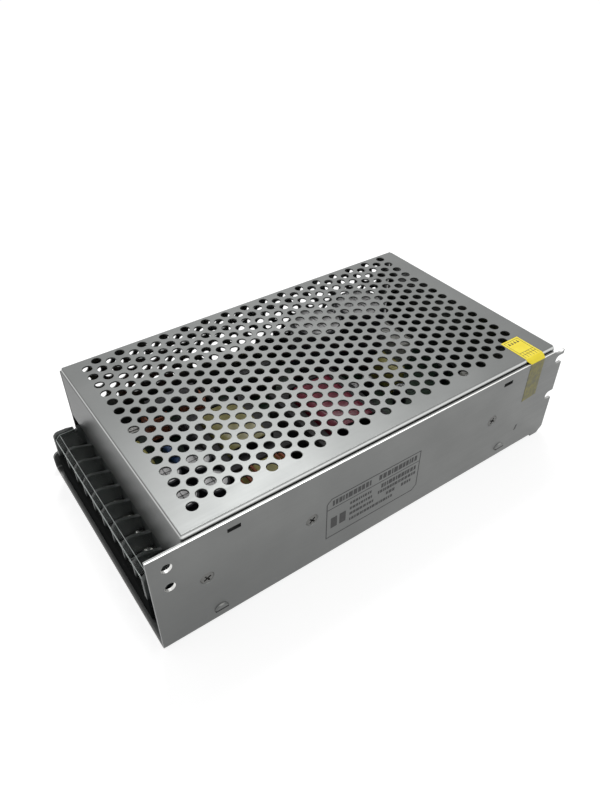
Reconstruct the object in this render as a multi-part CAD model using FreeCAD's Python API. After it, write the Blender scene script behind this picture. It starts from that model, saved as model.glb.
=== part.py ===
"""Mesh case switching power supply, in millimetres.

The origin is the middle of the underside. +X runs towards the slotted mounting tab,
-X is the terminal end, -Y is the solid near wall, +Y is the perforated far wall.
"""
import FreeCAD, Part
import math
import os

os.makedirs("parts", exist_ok=True)
V = FreeCAD.Vector

# Case
case_length = 199.0
case_width = 110.0
case_height = 50.0
chassis_sheet = 1.2
cover_sheet = 0.8
inner_bend = 0.6
sheet_gap = 0.1
wall_drop = 1.6
terminal_recess = 13.0
tab_length = 4.8
low_flange_height = 9.0
low_flange_corner = 3.0

# Cover
near_flange_depth = 9.0
near_flange_gap = 0.4
end_flange_gap = 0.2
cover_foot = 1.6
corner_relief = 0.5
mesh_hole_d = 4.2
mesh_pitch_x = 10.4
mesh_pitch_y = 6.53
mesh_margin_x = 9.5
mesh_margin_near = 9.6
mesh_margin_fold = 4.1
mesh_far_rows = 7
cover_screw_d = 3.0
cover_screw_head_d = 5.4
cover_screw_head_h = 0.6
cover_screw_length = 4.0
cover_screw_height = 4.4
cover_screw_inset = 22.0
screw_clearance = 0.2

# Near wall features, each measured from the nearer end and from the top
side_hole_d = 4.0
side_hole_inset = 6.5
side_hole_drop = 8.4
side_hole_spacing = 9.8
wall_screw_d = 3.2
wall_head_d = 5.6
wall_screw_share = 0.52
wall_screw_insets_left = (19.6, 63.2)
wall_screw_inset_right = 40.3
lug_insets = (18.3, 30.3)
lug_slot_length = 5.2
lug_slot_height = 1.8
lug_depth = 6.0
lug_clearance = 0.3
louver_insets = (23.4, 30.9)
louver_height = 5.2
louver_radius = 3.2
louver_rise = 0.6
tab_slot_width = 4.4
tab_slot_depth = 4.6
tab_slot_drops = (27.2, 7.0)
tab_scoop_radius = 5.0
tab_scoop_inset = 2.9
tab_scoop_rise = 3.1
tab_chamfer = 3.0

# Holes in the floor for mounting screws
base_hole_d = 3.3
base_hole_spacing_x = 150.0
base_hole_spacing_y = 50.0

# Board, insulating sheet and standoffs
film = 0.3
standoff_height = 5.0
standoff_across = 5.5
standoff_floor = 1.0
standoff_inset = 5.5
standoff_near_inset = 9.0
board_thick = 1.6
board_gap = 0.8
board_end_inset = 3.5
board_screw_d = 3.0
board_screw_head_d = 5.5
board_screw_head_h = 2.0

# Terminal block, between the trimmer's corner and the low far flange
way_pitch = 9.5
block_near_room = 11.3
block_far_room_least = 4.0
barrier = 1.4
ear = 2.0
block_depth = 14.0
block_front_inset = 1.5
block_skirt = 1.4
block_skirt_bottom = 2.0
block_base_top = 13.0
block_back_top = 22.0
block_back_thick = 1.6
barrier_top = 23.6
barrier_setback = 0.8
barrier_crest = (3.0, 5.0)
barrier_front_drop = 2.6
barrier_back_drop = 2.2
ear_top = 25.4
ear_crest = 6.0
ear_back_drop = 1.6
ear_round = 2.5
contact_plate = 0.8
contact_inset = 1.6
contact_room = 0.8
clamp_plate = 1.0
clamp_room = 1.5
terminal_screw_back = 8.5
terminal_screw_depth = 3.5
terminal_head_margin = 0.3
terminal_head_h = 2.2
terminal_shank_share = 0.57

# Clear terminal cover
lid_sheet = 1.0
lid_gap = 0.3
lid_bevel = 2.0
lid_lip = 1.0
lid_drop = 0.2
lid_barrel_r = 1.2
lid_pin_r = 0.8
lid_pin_clearance = 0.1
lid_axis_back = 9.2

# Yellow seal sticker, measured from the tab end
seal_thick = 0.12
seal_width = 10.3
seal_inset = 13.1
seal_on_top = 16.3
seal_on_wall = 20.0

# Power devices clamped to the near wall
pad_thick = 0.2
pad_margin = 1.0
heat_bar_thick = 3.0
heat_bar_height = 18.0
output_bar_start = 4.0
output_bar_reach = 15.0
input_bar_length = 32.0
device_width = 10.0
device_height = 15.0
device_depth = 4.5
device_offset = 9.0
device_lead = 0.9
device_lead_pitch = 2.54
clamp_strip = 1.2
clamp_strip_length = 26.0
clamp_strip_height = 8.0

# The room behind the terminal block that the parts below are laid out for: they stretch with the real room
drawn_length = 175.8
drawn_width = 105.1
drawn_headroom = 41.4

# Magnetics: size along X, Y and Z, and place from the room's middle
main_core = (34.0, 46.0, 20.0)
main_core_place = (-1.0, -14.5)
drive_core = (31.0, 40.0, 18.0)
drive_core_place = (-40.5, -0.5)
core_leg_share = 0.18
bobbin_wall = 0.9
winding_share = 0.92
part_ease = 0.1
choke_place = (-42.0, -29.5)
choke_core_d = 25.0
choke_core_hole = 13.0
choke_core_width = 11.0
choke_wire = 1.4
choke_open_angle = 50.0
choke_sides = 20
filter_core = (24.0, 6.0, 22.0)
filter_place = (-51.0, 36.5)
filter_leg = 5.0
filter_wire = 2.6

# Parts that stand on the board, places from the room's middle
bulk_cap = (25.0, 34.0)
bulk_cap_places = ((26.0, 33.5), (53.0, 34.5))
output_cap = (12.6, 26.0)
output_cap_places = ((-76.0, -9.0), (-76.0, -23.0), (-63.0, -9.0), (-63.0, -23.0))
small_cap = (6.3, 11.0)
small_cap_places = ((28.0, 6.5), (37.0, 6.5), (46.0, -7.5), (76.0, -5.5))
film_cap = (7.0, 17.0, 14.0)
film_cap_places = ((-76.0, 18.5), (22.0, -11.5), (52.0, 8.5))
disc_cap_d = 9.0
disc_cap_thick = 3.6
disc_cap_places = ((-62.0, 10.5), (-62.0, 20.5), (30.0, -31.5))
limiter_d = 13.0
limiter_thick = 5.0
limiter_place = (-31.0, 40.5)
bridge = (20.0, 4.0, 17.0)
bridge_place = (-6.0, 38.5)
chip = (20.0, 6.4, 3.4)
chip_place = (38.0, -19.5)
resistor = (9.0, 22.0, 12.0)
resistor_places = ((72.0, 27.5), (80.5, -27.5))
fuse_place = (-77.0, 42.5)
fuse_d = 5.2
fuse_length = 20.0
fuse_cap_length = 5.0
fuse_glass_step = 0.2
fuse_axis_height = 6.0
fuse_clip_wall = 0.5
fuse_clip_length = 4.0
fuse_clip_grip = 0.8

# Output voltage trimmer and lamp, measured from the near corner of the terminal end
trimmer_side = 6.4
trimmer_height = 6.0
trimmer_inset = (7.5, 8.8)
rotor_d = 4.4
rotor_height = 2.4
rotor_proud = 0.6
rotor_clearance = 0.1
rotor_slot = 0.8
lamp_inset = (7.5, 3.6)
lamp_d = 3.0
lamp_height = 5.4

# Sheet edges that follow from the sizes above
x_left = -case_length / 2
x_right = case_length / 2
y_near = -case_width / 2
y_far = case_width / 2
cover_x0 = x_left + terminal_recess
cover_x1 = x_right - tab_length
chassis_bend = inner_bend + chassis_sheet
cover_bend = inner_bend + cover_sheet
wall_top = case_height - wall_drop
wall_inside = y_near + chassis_sheet
far_inside = y_far - cover_sheet
low_flange_out = far_inside - sheet_gap
low_flange_in = low_flange_out - chassis_sheet
floor_x1 = cover_x1 - cover_sheet - sheet_gap
cover_near = wall_inside + near_flange_gap
end_flange_depth = case_height - ear_top - end_flange_gap
wall_screw_height = case_height * wall_screw_share
wall_screw_xs = [x_left + inset for inset in wall_screw_insets_left] + [x_right - wall_screw_inset_right]
lug_xs = (cover_x0 + lug_insets[0], cover_x1 - lug_insets[1])
louver_xs = (x_left + louver_insets[0], x_right - louver_insets[1])

# Terminal block and lid
block_x0 = x_left + block_front_inset
block_x1 = block_x0 + block_depth
block_y0 = wall_inside + block_near_room + ear
ways = int((low_flange_in - block_far_room_least - ear - block_y0) // way_pitch)
block_y1 = block_y0 + way_pitch * ways
clamp_side = way_pitch - barrier - clamp_room
terminal_head_d = clamp_side - 2 * terminal_head_margin
terminal_screw_d = terminal_head_d * terminal_shank_share
screw_x = block_x0 + terminal_screw_back
lid_top = ear_top - lid_drop
lid_axis_x = block_x0 + lid_axis_back
lid_axis_z = lid_top - lid_barrel_r

# Board, and how far the real room differs from the drawn one
board_z0 = chassis_sheet + standoff_height
board_z1 = board_z0 + board_thick
board_x0 = x_left + board_end_inset
board_x1 = floor_x1 - chassis_sheet - board_gap
board_y0 = wall_inside + board_gap
board_y1 = low_flange_in - board_gap
stretch_x = (board_x1 - block_x1) / drawn_length
stretch_y = (board_y1 - board_y0) / drawn_width
stretch_z = (case_height - cover_sheet - board_z1) / drawn_headroom
stretch_xy = min(stretch_x, stretch_y)

# Layers of the power devices, inwards from the near wall
bar_y0 = wall_inside + pad_thick
bar_y1 = bar_y0 + heat_bar_thick
device_y1 = bar_y1 + device_depth
strip_y1 = device_y1 + clamp_strip
bar_half = heat_bar_height * stretch_z / 2


def save(name, *solids):
    """Write one node; several solids make a group."""
    shape = solids[0] if len(solids) == 1 else Part.makeCompound(list(solids))
    shape.exportStep("parts/" + name + ".step")
    box = shape.BoundBox
    low = [round(value, 2) for value in (box.XMin, box.YMin, box.ZMin)]
    high = [round(value, 2) for value in (box.XMax, box.YMax, box.ZMax)]
    print(name, len(shape.Solids), low, high, "valid" if shape.isValid() else "not valid")


# Solids by their bounds or their axis
def block(x0, x1, y0, y1, z0, z1):
    """A box between two corners."""
    return Part.makeBox(x1 - x0, y1 - y0, z1 - z0, V(x0, y0, z0))


def cylinder(x, y, z0, z1, radius):
    """An upright cylinder."""
    return Part.makeCylinder(radius, z1 - z0, V(x, y, z0), V(0, 0, 1))


def cylinder_y(x, z, y0, y1, radius):
    """A cylinder along Y."""
    return Part.makeCylinder(radius, y1 - y0, V(x, y0, z), V(0, 1, 0))


def polygon(centre, u, v, across, sides):
    """A closed regular outline about a centre, measured across its flats."""
    radius = across / 2 / math.cos(math.pi / sides)
    angles = [2 * math.pi / sides * (i + 0.5) for i in range(sides)]
    points = [centre + u * (radius * math.cos(angle)) + v * (radius * math.sin(angle)) for angle in angles]
    return Part.makePolygon(points + points[:1])


def prism(x, y, z0, z1, across, sides=6):
    """An upright prism, measured across its flats."""
    outline = polygon(V(x, y, z0), V(1, 0, 0), V(0, 1, 0), across, sides)
    return Part.Face(outline).extrude(V(0, 0, z1 - z0))


def prism_x(y, z, x0, x1, across, sides=12):
    """A prism along X, measured across its flats."""
    outline = polygon(V(x0, y, z), V(0, 1, 0), V(0, 0, 1), across, sides)
    return Part.Face(outline).extrude(V(x1 - x0, 0, 0))


def prism_y(x, z, y0, y1, across, sides=6):
    """A prism along Y, measured across its flats."""
    outline = polygon(V(x, y0, z), V(1, 0, 0), V(0, 0, 1), across, sides)
    return Part.Face(outline).extrude(V(0, y1 - y0, 0))


def countersink(x, z, y0, y1, wide, narrow, sides=16):
    """A taper along Y, from a wide end to a narrow one."""
    ends = ((y0, wide), (y1, narrow))
    wires = [polygon(V(x, y, z), V(1, 0, 0), V(0, 0, 1), across, sides) for y, across in ends]
    return Part.makeLoft(wires, True, True)


def rounded_wire(points, radii):
    """A closed wire through the points, each corner rounded by its radius (0 is sharp)."""
    count = len(points)
    starts = []
    ends = []
    middles = []
    for i, point in enumerate(points):
        radius = radii[i]
        if radius <= 0:
            starts.append(point)
            ends.append(point)
            middles.append(None)
            continue
        back = (points[i - 1] - point).normalize()
        ahead = (points[(i + 1) % count] - point).normalize()
        half = back.getAngle(ahead) / 2
        reach = radius / math.tan(half)
        centre = point + (back + ahead).normalize() * (radius / math.sin(half))
        starts.append(point + back * reach)
        ends.append(point + ahead * reach)
        middles.append(centre + (point - centre).normalize() * radius)
    edges = []
    for i in range(count):
        if middles[i] is not None:
            edges.append(Part.Arc(starts[i], middles[i], ends[i]).toShape())
        following = starts[(i + 1) % count]
        if (following - ends[i]).Length > 1e-6:
            edges.append(Part.LineSegment(ends[i], following).toShape())
    return Part.Wire(edges)


def extrude_yz(points, radii, x0, x1):
    """A section given as (y, z) points, run along X."""
    wire = rounded_wire([V(x0, y, z) for y, z in points], radii)
    return Part.Face(wire).extrude(V(x1 - x0, 0, 0))


def extrude_xz(points, radii, y0, y1):
    """A section given as (x, z) points, run along Y."""
    wire = rounded_wire([V(x, y0, z) for x, z in points], radii)
    return Part.Face(wire).extrude(V(0, y1 - y0, 0))


# Places that repeat
def standoff_places():
    """Standoffs stand near the board's corners and at the middle of its long sides."""
    xs = (board_x0 + block_depth + standoff_inset, (board_x0 + board_x1) / 2, board_x1 - standoff_inset)
    ys = (board_y0 + standoff_near_inset * stretch_y, board_y1 - standoff_inset)
    return [(x, y) for x in xs for y in ys]


def base_holes():
    """The four mounting holes in the floor."""
    dx = base_hole_spacing_x / 2
    dy = base_hole_spacing_y / 2
    return [(x, y) for x in (-dx, dx) for y in (-dy, dy)]


def cover_screw_xs():
    """Where the far wall is screwed to the chassis's low flange."""
    return (cover_x0 + cover_screw_inset, cover_x1 - cover_screw_inset)


def way_centres():
    """Y places of the terminals."""
    return [block_y0 + way_pitch * (i + 0.5) for i in range(ways)]


def on_board(place):
    """A place given from the middle of the room behind the terminal block, stretched with the room."""
    x = (block_x1 + board_x1) / 2 + place[0] * stretch_x
    y = (board_y0 + board_y1) / 2 + place[1] * stretch_y
    return x, y


# Chassis
def half_moon(x):
    """The upper half of a shallow cone, bulging from the near wall as a louver."""
    r = louver_radius
    z = louver_height
    root = y_near + chassis_sheet / 2
    depth = root - y_near + louver_rise
    cone = Part.makeCone(r, r - louver_rise, depth, V(x, root, z), V(0, -1, 0))
    return cone.common(block(x - r, x + r, root - depth, root, z, z + r))


def chassis_folds():
    """Floor, near wall with its tab, low far flange and low end flange from one sheet."""
    t = chassis_sheet
    section = [(y_near, wall_top), (y_near, 0), (low_flange_out, 0), (low_flange_out, low_flange_height),
               (low_flange_in, low_flange_height), (low_flange_in, t), (wall_inside, t),
               (wall_inside, wall_top)]
    radii = [0, chassis_bend, chassis_bend, 0, 0, inner_bend, inner_bend, 0]
    bend_x = floor_x1 - chassis_bend
    body = extrude_yz(section, radii, x_left, bend_x)
    wall_end = [(bend_x, 0), (x_right - tab_chamfer, 0), (x_right, tab_chamfer), (x_right, wall_top),
                (bend_x, wall_top)]
    wall_plate = extrude_xz(wall_end, [0] * len(wall_end), y_near, wall_inside)
    lip = [(bend_x, 0), (floor_x1, 0), (floor_x1, low_flange_height), (floor_x1 - t, low_flange_height),
           (floor_x1 - t, t), (bend_x, t)]
    y0 = y_near + chassis_bend + corner_relief
    y1 = low_flange_out - chassis_bend - corner_relief
    end_flange = extrude_xz(lip, [0, chassis_bend, 0, 0, inner_bend, 0], y0, y1)
    return body.fuse([wall_plate, end_flange])


def near_wall_cuts():
    """Holes and slots of the near wall and its tab."""
    out = y_near - 1
    inside = wall_inside + 1
    cuts = []
    side_hole_top = case_height - side_hole_drop
    for height in (side_hole_top, side_hole_top - side_hole_spacing):
        cuts.append(cylinder_y(x_left + side_hole_inset, height, out, inside, side_hole_d / 2))
    for x in wall_screw_xs:
        cuts.append(countersink(x, wall_screw_height, y_near, wall_inside, wall_head_d, wall_screw_d))
    half_l = lug_slot_length / 2
    half_h = lug_slot_height / 2
    lug_z = case_height - lug_depth
    for x in lug_xs:
        cuts.append(block(x - half_l, x + half_l, out, inside, lug_z - half_h, lug_z + half_h))
    half_w = tab_slot_width / 2
    end = x_right - tab_slot_depth + half_w
    for drop in tab_slot_drops:
        height = case_height - drop
        cuts.append(block(end, x_right + 1, out, inside, height - half_w, height + half_w))
        cuts.append(cylinder_y(end, height, out, inside, half_w))
    scoop_x = x_right - tab_scoop_inset
    cuts.append(cylinder_y(scoop_x, wall_top + tab_scoop_rise, out, inside, tab_scoop_radius))
    return cuts


def flange_corner_cut():
    """The rounded corner of the low far flange at the terminal end."""
    r = low_flange_corner
    y0 = low_flange_in - 1
    y1 = low_flange_out + 1
    square = block(x_left - 1, x_left + r, y0, y1, low_flange_height - r, low_flange_height + 1)
    return square.cut(cylinder_y(x_left + r, low_flange_height - r, y0, y1, r))


def chassis():
    """The folded chassis with its holes, slots and louvers."""
    cuts = near_wall_cuts() + [flange_corner_cut()]
    cuts += [cylinder(x, y, -1, chassis_sheet + 1, base_hole_d / 2) for x, y in base_holes()]
    hole_d = cover_screw_d + screw_clearance
    for x in cover_screw_xs():
        cuts.append(prism_y(x, cover_screw_height, low_flange_in - 1, low_flange_out + 1, hole_d, 12))
    body = chassis_folds().cut(Part.makeCompound(cuts))
    return body.fuse([half_moon(x) for x in louver_xs]).removeSplitter()


# Cover
def mesh_square(centre, along, across):
    """One perforation: a square with the area of the round hole, so that hundreds of them stay light."""
    half = mesh_hole_d * math.sqrt(math.pi) / 4
    signs = ((-1, -1), (1, -1), (1, 1), (-1, 1))
    corners = [centre + along * (a * half) + across * (b * half) for a, b in signs]
    return Part.makePolygon(corners + corners[:1])


def mesh_columns(row):
    """X places of one row; odd rows are staggered by half a pitch."""
    room = cover_x1 - cover_x0 - 2 * mesh_margin_x
    step = mesh_pitch_x / 2
    halves = int(room / step)
    return [cover_x0 + mesh_margin_x + step * m for m in range(halves + 1) if (m + row) % 2 == 0]


def mesh_top_rows():
    """Y places of the top's rows, from the near fold to the far fold."""
    first = cover_near + mesh_margin_near
    count = int((y_far - mesh_margin_fold - first) / (mesh_pitch_y / 2)) + 1
    return [first + mesh_pitch_y / 2 * n for n in range(count)]


def mesh_sheet(corners, wires, direction):
    """A flat perforated sheet: an outline with square openings, run through its thickness."""
    outline = Part.makePolygon(corners + corners[:1])
    return Part.makeFace([outline] + wires, "Part::FaceMakerBullseye").extrude(direction)


def mesh_top():
    """The flat of the top, between the four folds."""
    z = case_height - cover_sheet
    wires = [mesh_square(V(x, y, z), V(1, 0, 0), V(0, 1, 0))
             for row, y in enumerate(mesh_top_rows()) for x in mesh_columns(row)]
    x0 = cover_x0 + cover_bend
    x1 = cover_x1 - cover_bend
    y0 = cover_near + cover_bend
    y1 = y_far - cover_bend
    corners = [V(x0, y0, z), V(x1, y0, z), V(x1, y1, z), V(x0, y1, z)]
    return mesh_sheet(corners, wires, V(0, 0, cover_sheet))


def mesh_far_wall():
    """The far wall below its fold, notched at its upper corners."""
    y = far_inside
    rows = len(mesh_top_rows())
    wires = []
    for k in range(mesh_far_rows):
        z = case_height - mesh_margin_fold - mesh_pitch_y / 2 * k
        wires += [mesh_square(V(x, y, z), V(1, 0, 0), V(0, 0, 1)) for x in mesh_columns(rows + k)]
    low = case_height - cover_bend
    notch = low - corner_relief
    x0 = cover_x0 + cover_bend
    x1 = cover_x1 - cover_bend
    outline = [(cover_x0, cover_foot), (cover_x1, cover_foot), (cover_x1, notch), (x1, notch), (x1, low),
               (x0, low), (x0, notch), (cover_x0, notch)]
    return mesh_sheet([V(x, y, z) for x, z in outline], wires, V(0, cover_sheet, 0))


def cover_flange(flat, edge, foot, extrude, a, b):
    """A flange and its fold: from the flat, over the edge and down to its foot."""
    t = math.copysign(cover_sheet, flat - edge)
    top = case_height
    points = [(flat, top), (edge, top), (edge, foot), (edge + t, foot), (edge + t, top - cover_sheet),
              (flat, top - cover_sheet)]
    return extrude(points, [0, cover_bend, 0, 0, inner_bend, 0], a, b)


def cover_lugs():
    """Tongues of the near flange that catch in the near wall's slots."""
    half_l = lug_slot_length / 2 - lug_clearance
    half_h = lug_slot_height / 2 - lug_clearance
    z = case_height - lug_depth
    y0 = y_near + sheet_gap
    y1 = cover_near + cover_sheet / 2
    return [block(x - half_l, x + half_l, y0, y1, z - half_h, z + half_h) for x in lug_xs]


def mesh_cover():
    """Top, perforated far wall, short near flange and both ends from one sheet."""
    x0 = cover_x0 + cover_bend
    x1 = cover_x1 - cover_bend
    y0 = cover_near + cover_bend
    y1 = y_far - cover_bend
    end_y0 = y0 + corner_relief
    end_y1 = y1 - corner_relief
    pieces = [mesh_far_wall(),
              cover_flange(y1, y_far, case_height - cover_bend, extrude_yz, x0, x1),
              cover_flange(y0, cover_near, case_height - near_flange_depth, extrude_yz, x0, x1),
              cover_flange(x0, cover_x0, case_height - end_flange_depth, extrude_xz, end_y0, end_y1),
              cover_flange(x1, cover_x1, cover_foot, extrude_xz, end_y0, end_y1)]
    body = mesh_top().fuse(pieces + cover_lugs())
    hole_d = cover_screw_d + 2 * screw_clearance
    z = cover_screw_height
    return body.cut([prism_y(x, z, far_inside - 1, y_far + 1, hole_d, 12) for x in cover_screw_xs()])


def cover_screws():
    """Low-headed screws through the far wall into the low flange."""
    screws = []
    z = cover_screw_height
    for x in cover_screw_xs():
        cap = prism_y(x, z, y_far, y_far + cover_screw_head_h, cover_screw_head_d, 12)
        shank = prism_y(x, z, y_far - cover_screw_length, y_far, cover_screw_d - 2 * screw_clearance)
        screws.append(cap.fuse(shank))
    return screws


# Board
def board():
    """The circuit board, resting on its standoffs."""
    plate = block(board_x0, board_x1, board_y0, board_y1, board_z0, board_z1)
    places = standoff_places()
    return plate.cut([prism(x, y, board_z0 - 1, board_z1 + 1, board_screw_d, 4) for x, y in places])


def insulating_sheet():
    """A film on the floor, cut out around the standoffs and the mounting holes."""
    z0 = chassis_sheet
    sheet = block(board_x0, board_x1, board_y0, board_y1, z0, z0 + film)
    holes = [prism(x, y, z0 - 1, z0 + 1, standoff_across + 1) for x, y in standoff_places()]
    holes += [prism(x, y, z0 - 1, z0 + 1, base_hole_d + 2) for x, y in base_holes()]
    return sheet.cut(holes)


def standoffs():
    """Hexagonal spacers between the floor and the board, each with a blind hole for its screw."""
    made = []
    for x, y in standoff_places():
        spacer = prism(x, y, chassis_sheet, board_z0, standoff_across)
        made.append(spacer.cut(prism(x, y, chassis_sheet + standoff_floor, board_z0 + 1, board_screw_d, 4)))
    return made


def board_screws():
    """Screws through the board into the standoffs."""
    made = []
    shank_d = board_screw_d - 4 * screw_clearance
    for x, y in standoff_places():
        shank = prism(x, y, board_z0 - standoff_height / 2, board_z1, shank_d, 4)
        cap = prism(x, y, board_z1, board_z1 + board_screw_head_h, board_screw_head_d, 10)
        made.append(shank.fuse(cap))
    return made


# Terminal block
def barrier_wall(y):
    """One barrier between two ways, highest above the wire clamps."""
    x0 = block_x0 + barrier_setback
    x1 = block_x1 - block_back_thick
    profile = [(x0, block_base_top), (x1, block_base_top), (x1, barrier_top - barrier_back_drop),
               (block_x0 + barrier_crest[1], barrier_top), (block_x0 + barrier_crest[0], barrier_top),
               (x0, barrier_top - barrier_front_drop)]
    return extrude_xz(profile, [0] * len(profile), y - barrier / 2, y + barrier / 2)


def ear_wall(y):
    """One rounded end ear, which carries an end pin of the lid."""
    profile = [(block_x0, block_base_top), (block_x1, block_base_top), (block_x1, ear_top - ear_back_drop),
               (block_x0 + ear_crest, ear_top), (block_x0, ear_top)]
    return extrude_xz(profile, [0, 0, ear_round / 2, ear_round, ear_round], y, y + ear)


def terminal_block():
    """Black moulded base with a front skirt, barriers, a back wall and two rounded end ears."""
    y0 = block_y0 - ear
    y1 = block_y1 + ear
    base = block(block_x0, block_x1, y0, y1, board_z1, block_base_top)
    skirt = block(block_x0, block_x0 + block_skirt, y0, y1, block_skirt_bottom, block_base_top)
    back = block(block_x1 - block_back_thick, block_x1, y0, y1, block_base_top, block_back_top)
    walls = [barrier_wall(block_y0 + way_pitch * i) for i in range(1, ways)]
    walls += [ear_wall(y0), ear_wall(block_y1)]
    body = base.fuse([skirt, back] + walls)
    low = block_base_top - terminal_screw_depth - terminal_head_margin
    cuts = [prism(screw_x, y, low, block_base_top + 1, terminal_screw_d, 4) for y in way_centres()]
    cuts.append(cylinder_y(lid_axis_x, lid_axis_z, y0 - 1, y1 + 1, lid_pin_r + lid_pin_clearance))
    return body.cut(cuts).removeSplitter()


def terminal_contacts():
    """Tinned plates under the screws, one in each way."""
    made = []
    half = (way_pitch - barrier - contact_room) / 2
    x0 = block_x0 + contact_inset
    x1 = block_x1 - block_back_thick - part_ease
    z0 = block_base_top
    z1 = z0 + contact_plate
    for y in way_centres():
        plate = block(x0, x1, y - half, y + half, z0, z1)
        made.append(plate.cut(prism(screw_x, y, z0 - 1, z1 + 1, terminal_screw_d, 4)))
    return made


def terminal_clamps():
    """Square clamp plates under the screw heads."""
    made = []
    half = clamp_side / 2
    z0 = block_base_top + contact_plate
    z1 = z0 + clamp_plate
    for y in way_centres():
        plate = block(screw_x - half, screw_x + half, y - half, y + half, z0, z1)
        made.append(plate.cut(prism(screw_x, y, z0 - 1, z1 + 1, terminal_screw_d, 4)))
    return made


def terminal_screws():
    """Screws of the terminals."""
    made = []
    z0 = block_base_top + contact_plate + clamp_plate
    shank_d = terminal_screw_d - 2 * screw_clearance
    for y in way_centres():
        shank = prism(screw_x, y, block_base_top - terminal_screw_depth, z0, shank_d, 4)
        made.append(shank.fuse(prism(screw_x, y, z0, z0 + terminal_head_h, terminal_head_d, 10)))
    return made


def terminal_cover():
    """Clear lid: a thin plate with a bevelled front and a lip, hung on a barrel with two end pins."""
    y0 = block_y0 + lid_gap
    y1 = block_y1 - lid_gap
    t = lid_sheet
    front = block_x0 + lid_gap
    drop = t * math.tan(math.pi / 8)
    low = lid_top - lid_bevel
    lip = low - lid_lip
    profile = [(lid_axis_x, lid_top), (front + lid_bevel, lid_top), (front, low), (front, lip),
               (front + t, lip), (front + t, low - drop), (front + lid_bevel + drop, lid_top - t),
               (lid_axis_x, lid_top - t)]
    plate = extrude_xz(profile, [0] * len(profile), y0, y1)
    barrel = cylinder_y(lid_axis_x, lid_axis_z, y0, y1, lid_barrel_r)
    pins = cylinder_y(lid_axis_x, lid_axis_z, block_y0 - ear, block_y1 + ear, lid_pin_r)
    return plate.fuse([barrel, pins]).removeSplitter()


# Power devices on the near wall
def output_bar_span():
    """The long bar is held by the first two wall screws."""
    return wall_screw_xs[0] - output_bar_start, wall_screw_xs[1] + output_bar_reach


def input_bar_span():
    """The short bar is centred on the third wall screw."""
    middle = wall_screw_xs[2]
    return middle - input_bar_length / 2, middle + input_bar_length / 2


def screw_bores(y0, y1):
    """Clearance along every wall screw."""
    return [prism_y(x, wall_screw_height, y0, y1, wall_screw_d) for x in wall_screw_xs]


def heat_bar(span):
    """Aluminium bar that spreads the heat of the devices to the wall."""
    z = wall_screw_height
    bar = block(span[0], span[1], bar_y0, bar_y1, z - bar_half, z + bar_half)
    return bar.cut(screw_bores(bar_y0 - 1, bar_y1 + 1))


def insulating_pads():
    """Thin pads between the bars and the wall."""
    made = []
    half = bar_half - pad_margin
    z = wall_screw_height
    for span in (output_bar_span(), input_bar_span()):
        pad = block(span[0] + pad_margin, span[1] - pad_margin, wall_inside, bar_y0, z - half, z + half)
        made.append(pad.cut(screw_bores(wall_inside - 1, bar_y0 + 1)))
    return made


def devices(middle):
    """Two moulded power devices beside a wall screw, each with three leads down to the board."""
    made = []
    half_h = device_height * stretch_z / 2
    half_w = device_width / 2
    half_l = device_lead / 2
    z0 = wall_screw_height - half_h
    lead_y = (bar_y1 + device_y1) / 2
    for side in (-1, 1):
        x = middle + side * device_offset
        body = block(x - half_w, x + half_w, bar_y1, device_y1, z0, z0 + 2 * half_h)
        lead_xs = [x + i * device_lead_pitch for i in (-1, 0, 1)]
        y0 = lead_y - half_l
        y1 = lead_y + half_l
        made.append(body.fuse([block(a - half_l, a + half_l, y0, y1, board_z1, z0) for a in lead_xs]))
    return made


def clamp_strips():
    """Steel strips that press the devices onto the bars, drawn up by the wall screws."""
    half_l = clamp_strip_length / 2
    half_h = clamp_strip_height / 2
    z0 = wall_screw_height - half_h
    z1 = wall_screw_height + half_h
    strips = [block(x - half_l, x + half_l, device_y1, strip_y1, z0, z1) for x in wall_screw_xs[1:]]
    return [strip.cut(screw_bores(device_y1 - 1, strip_y1 + 1)) for strip in strips]


def wall_screws():
    """Countersunk screws, flush with the outside of the near wall."""
    made = []
    z = wall_screw_height
    ease = part_ease
    for x, end in zip(wall_screw_xs, (bar_y1, strip_y1, strip_y1)):
        cone = countersink(x, z, y_near, wall_inside, wall_head_d - ease, wall_screw_d - ease)
        made.append(cone.fuse(prism_y(x, z, wall_inside, end, wall_screw_d - 2 * ease)))
    return made


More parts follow.
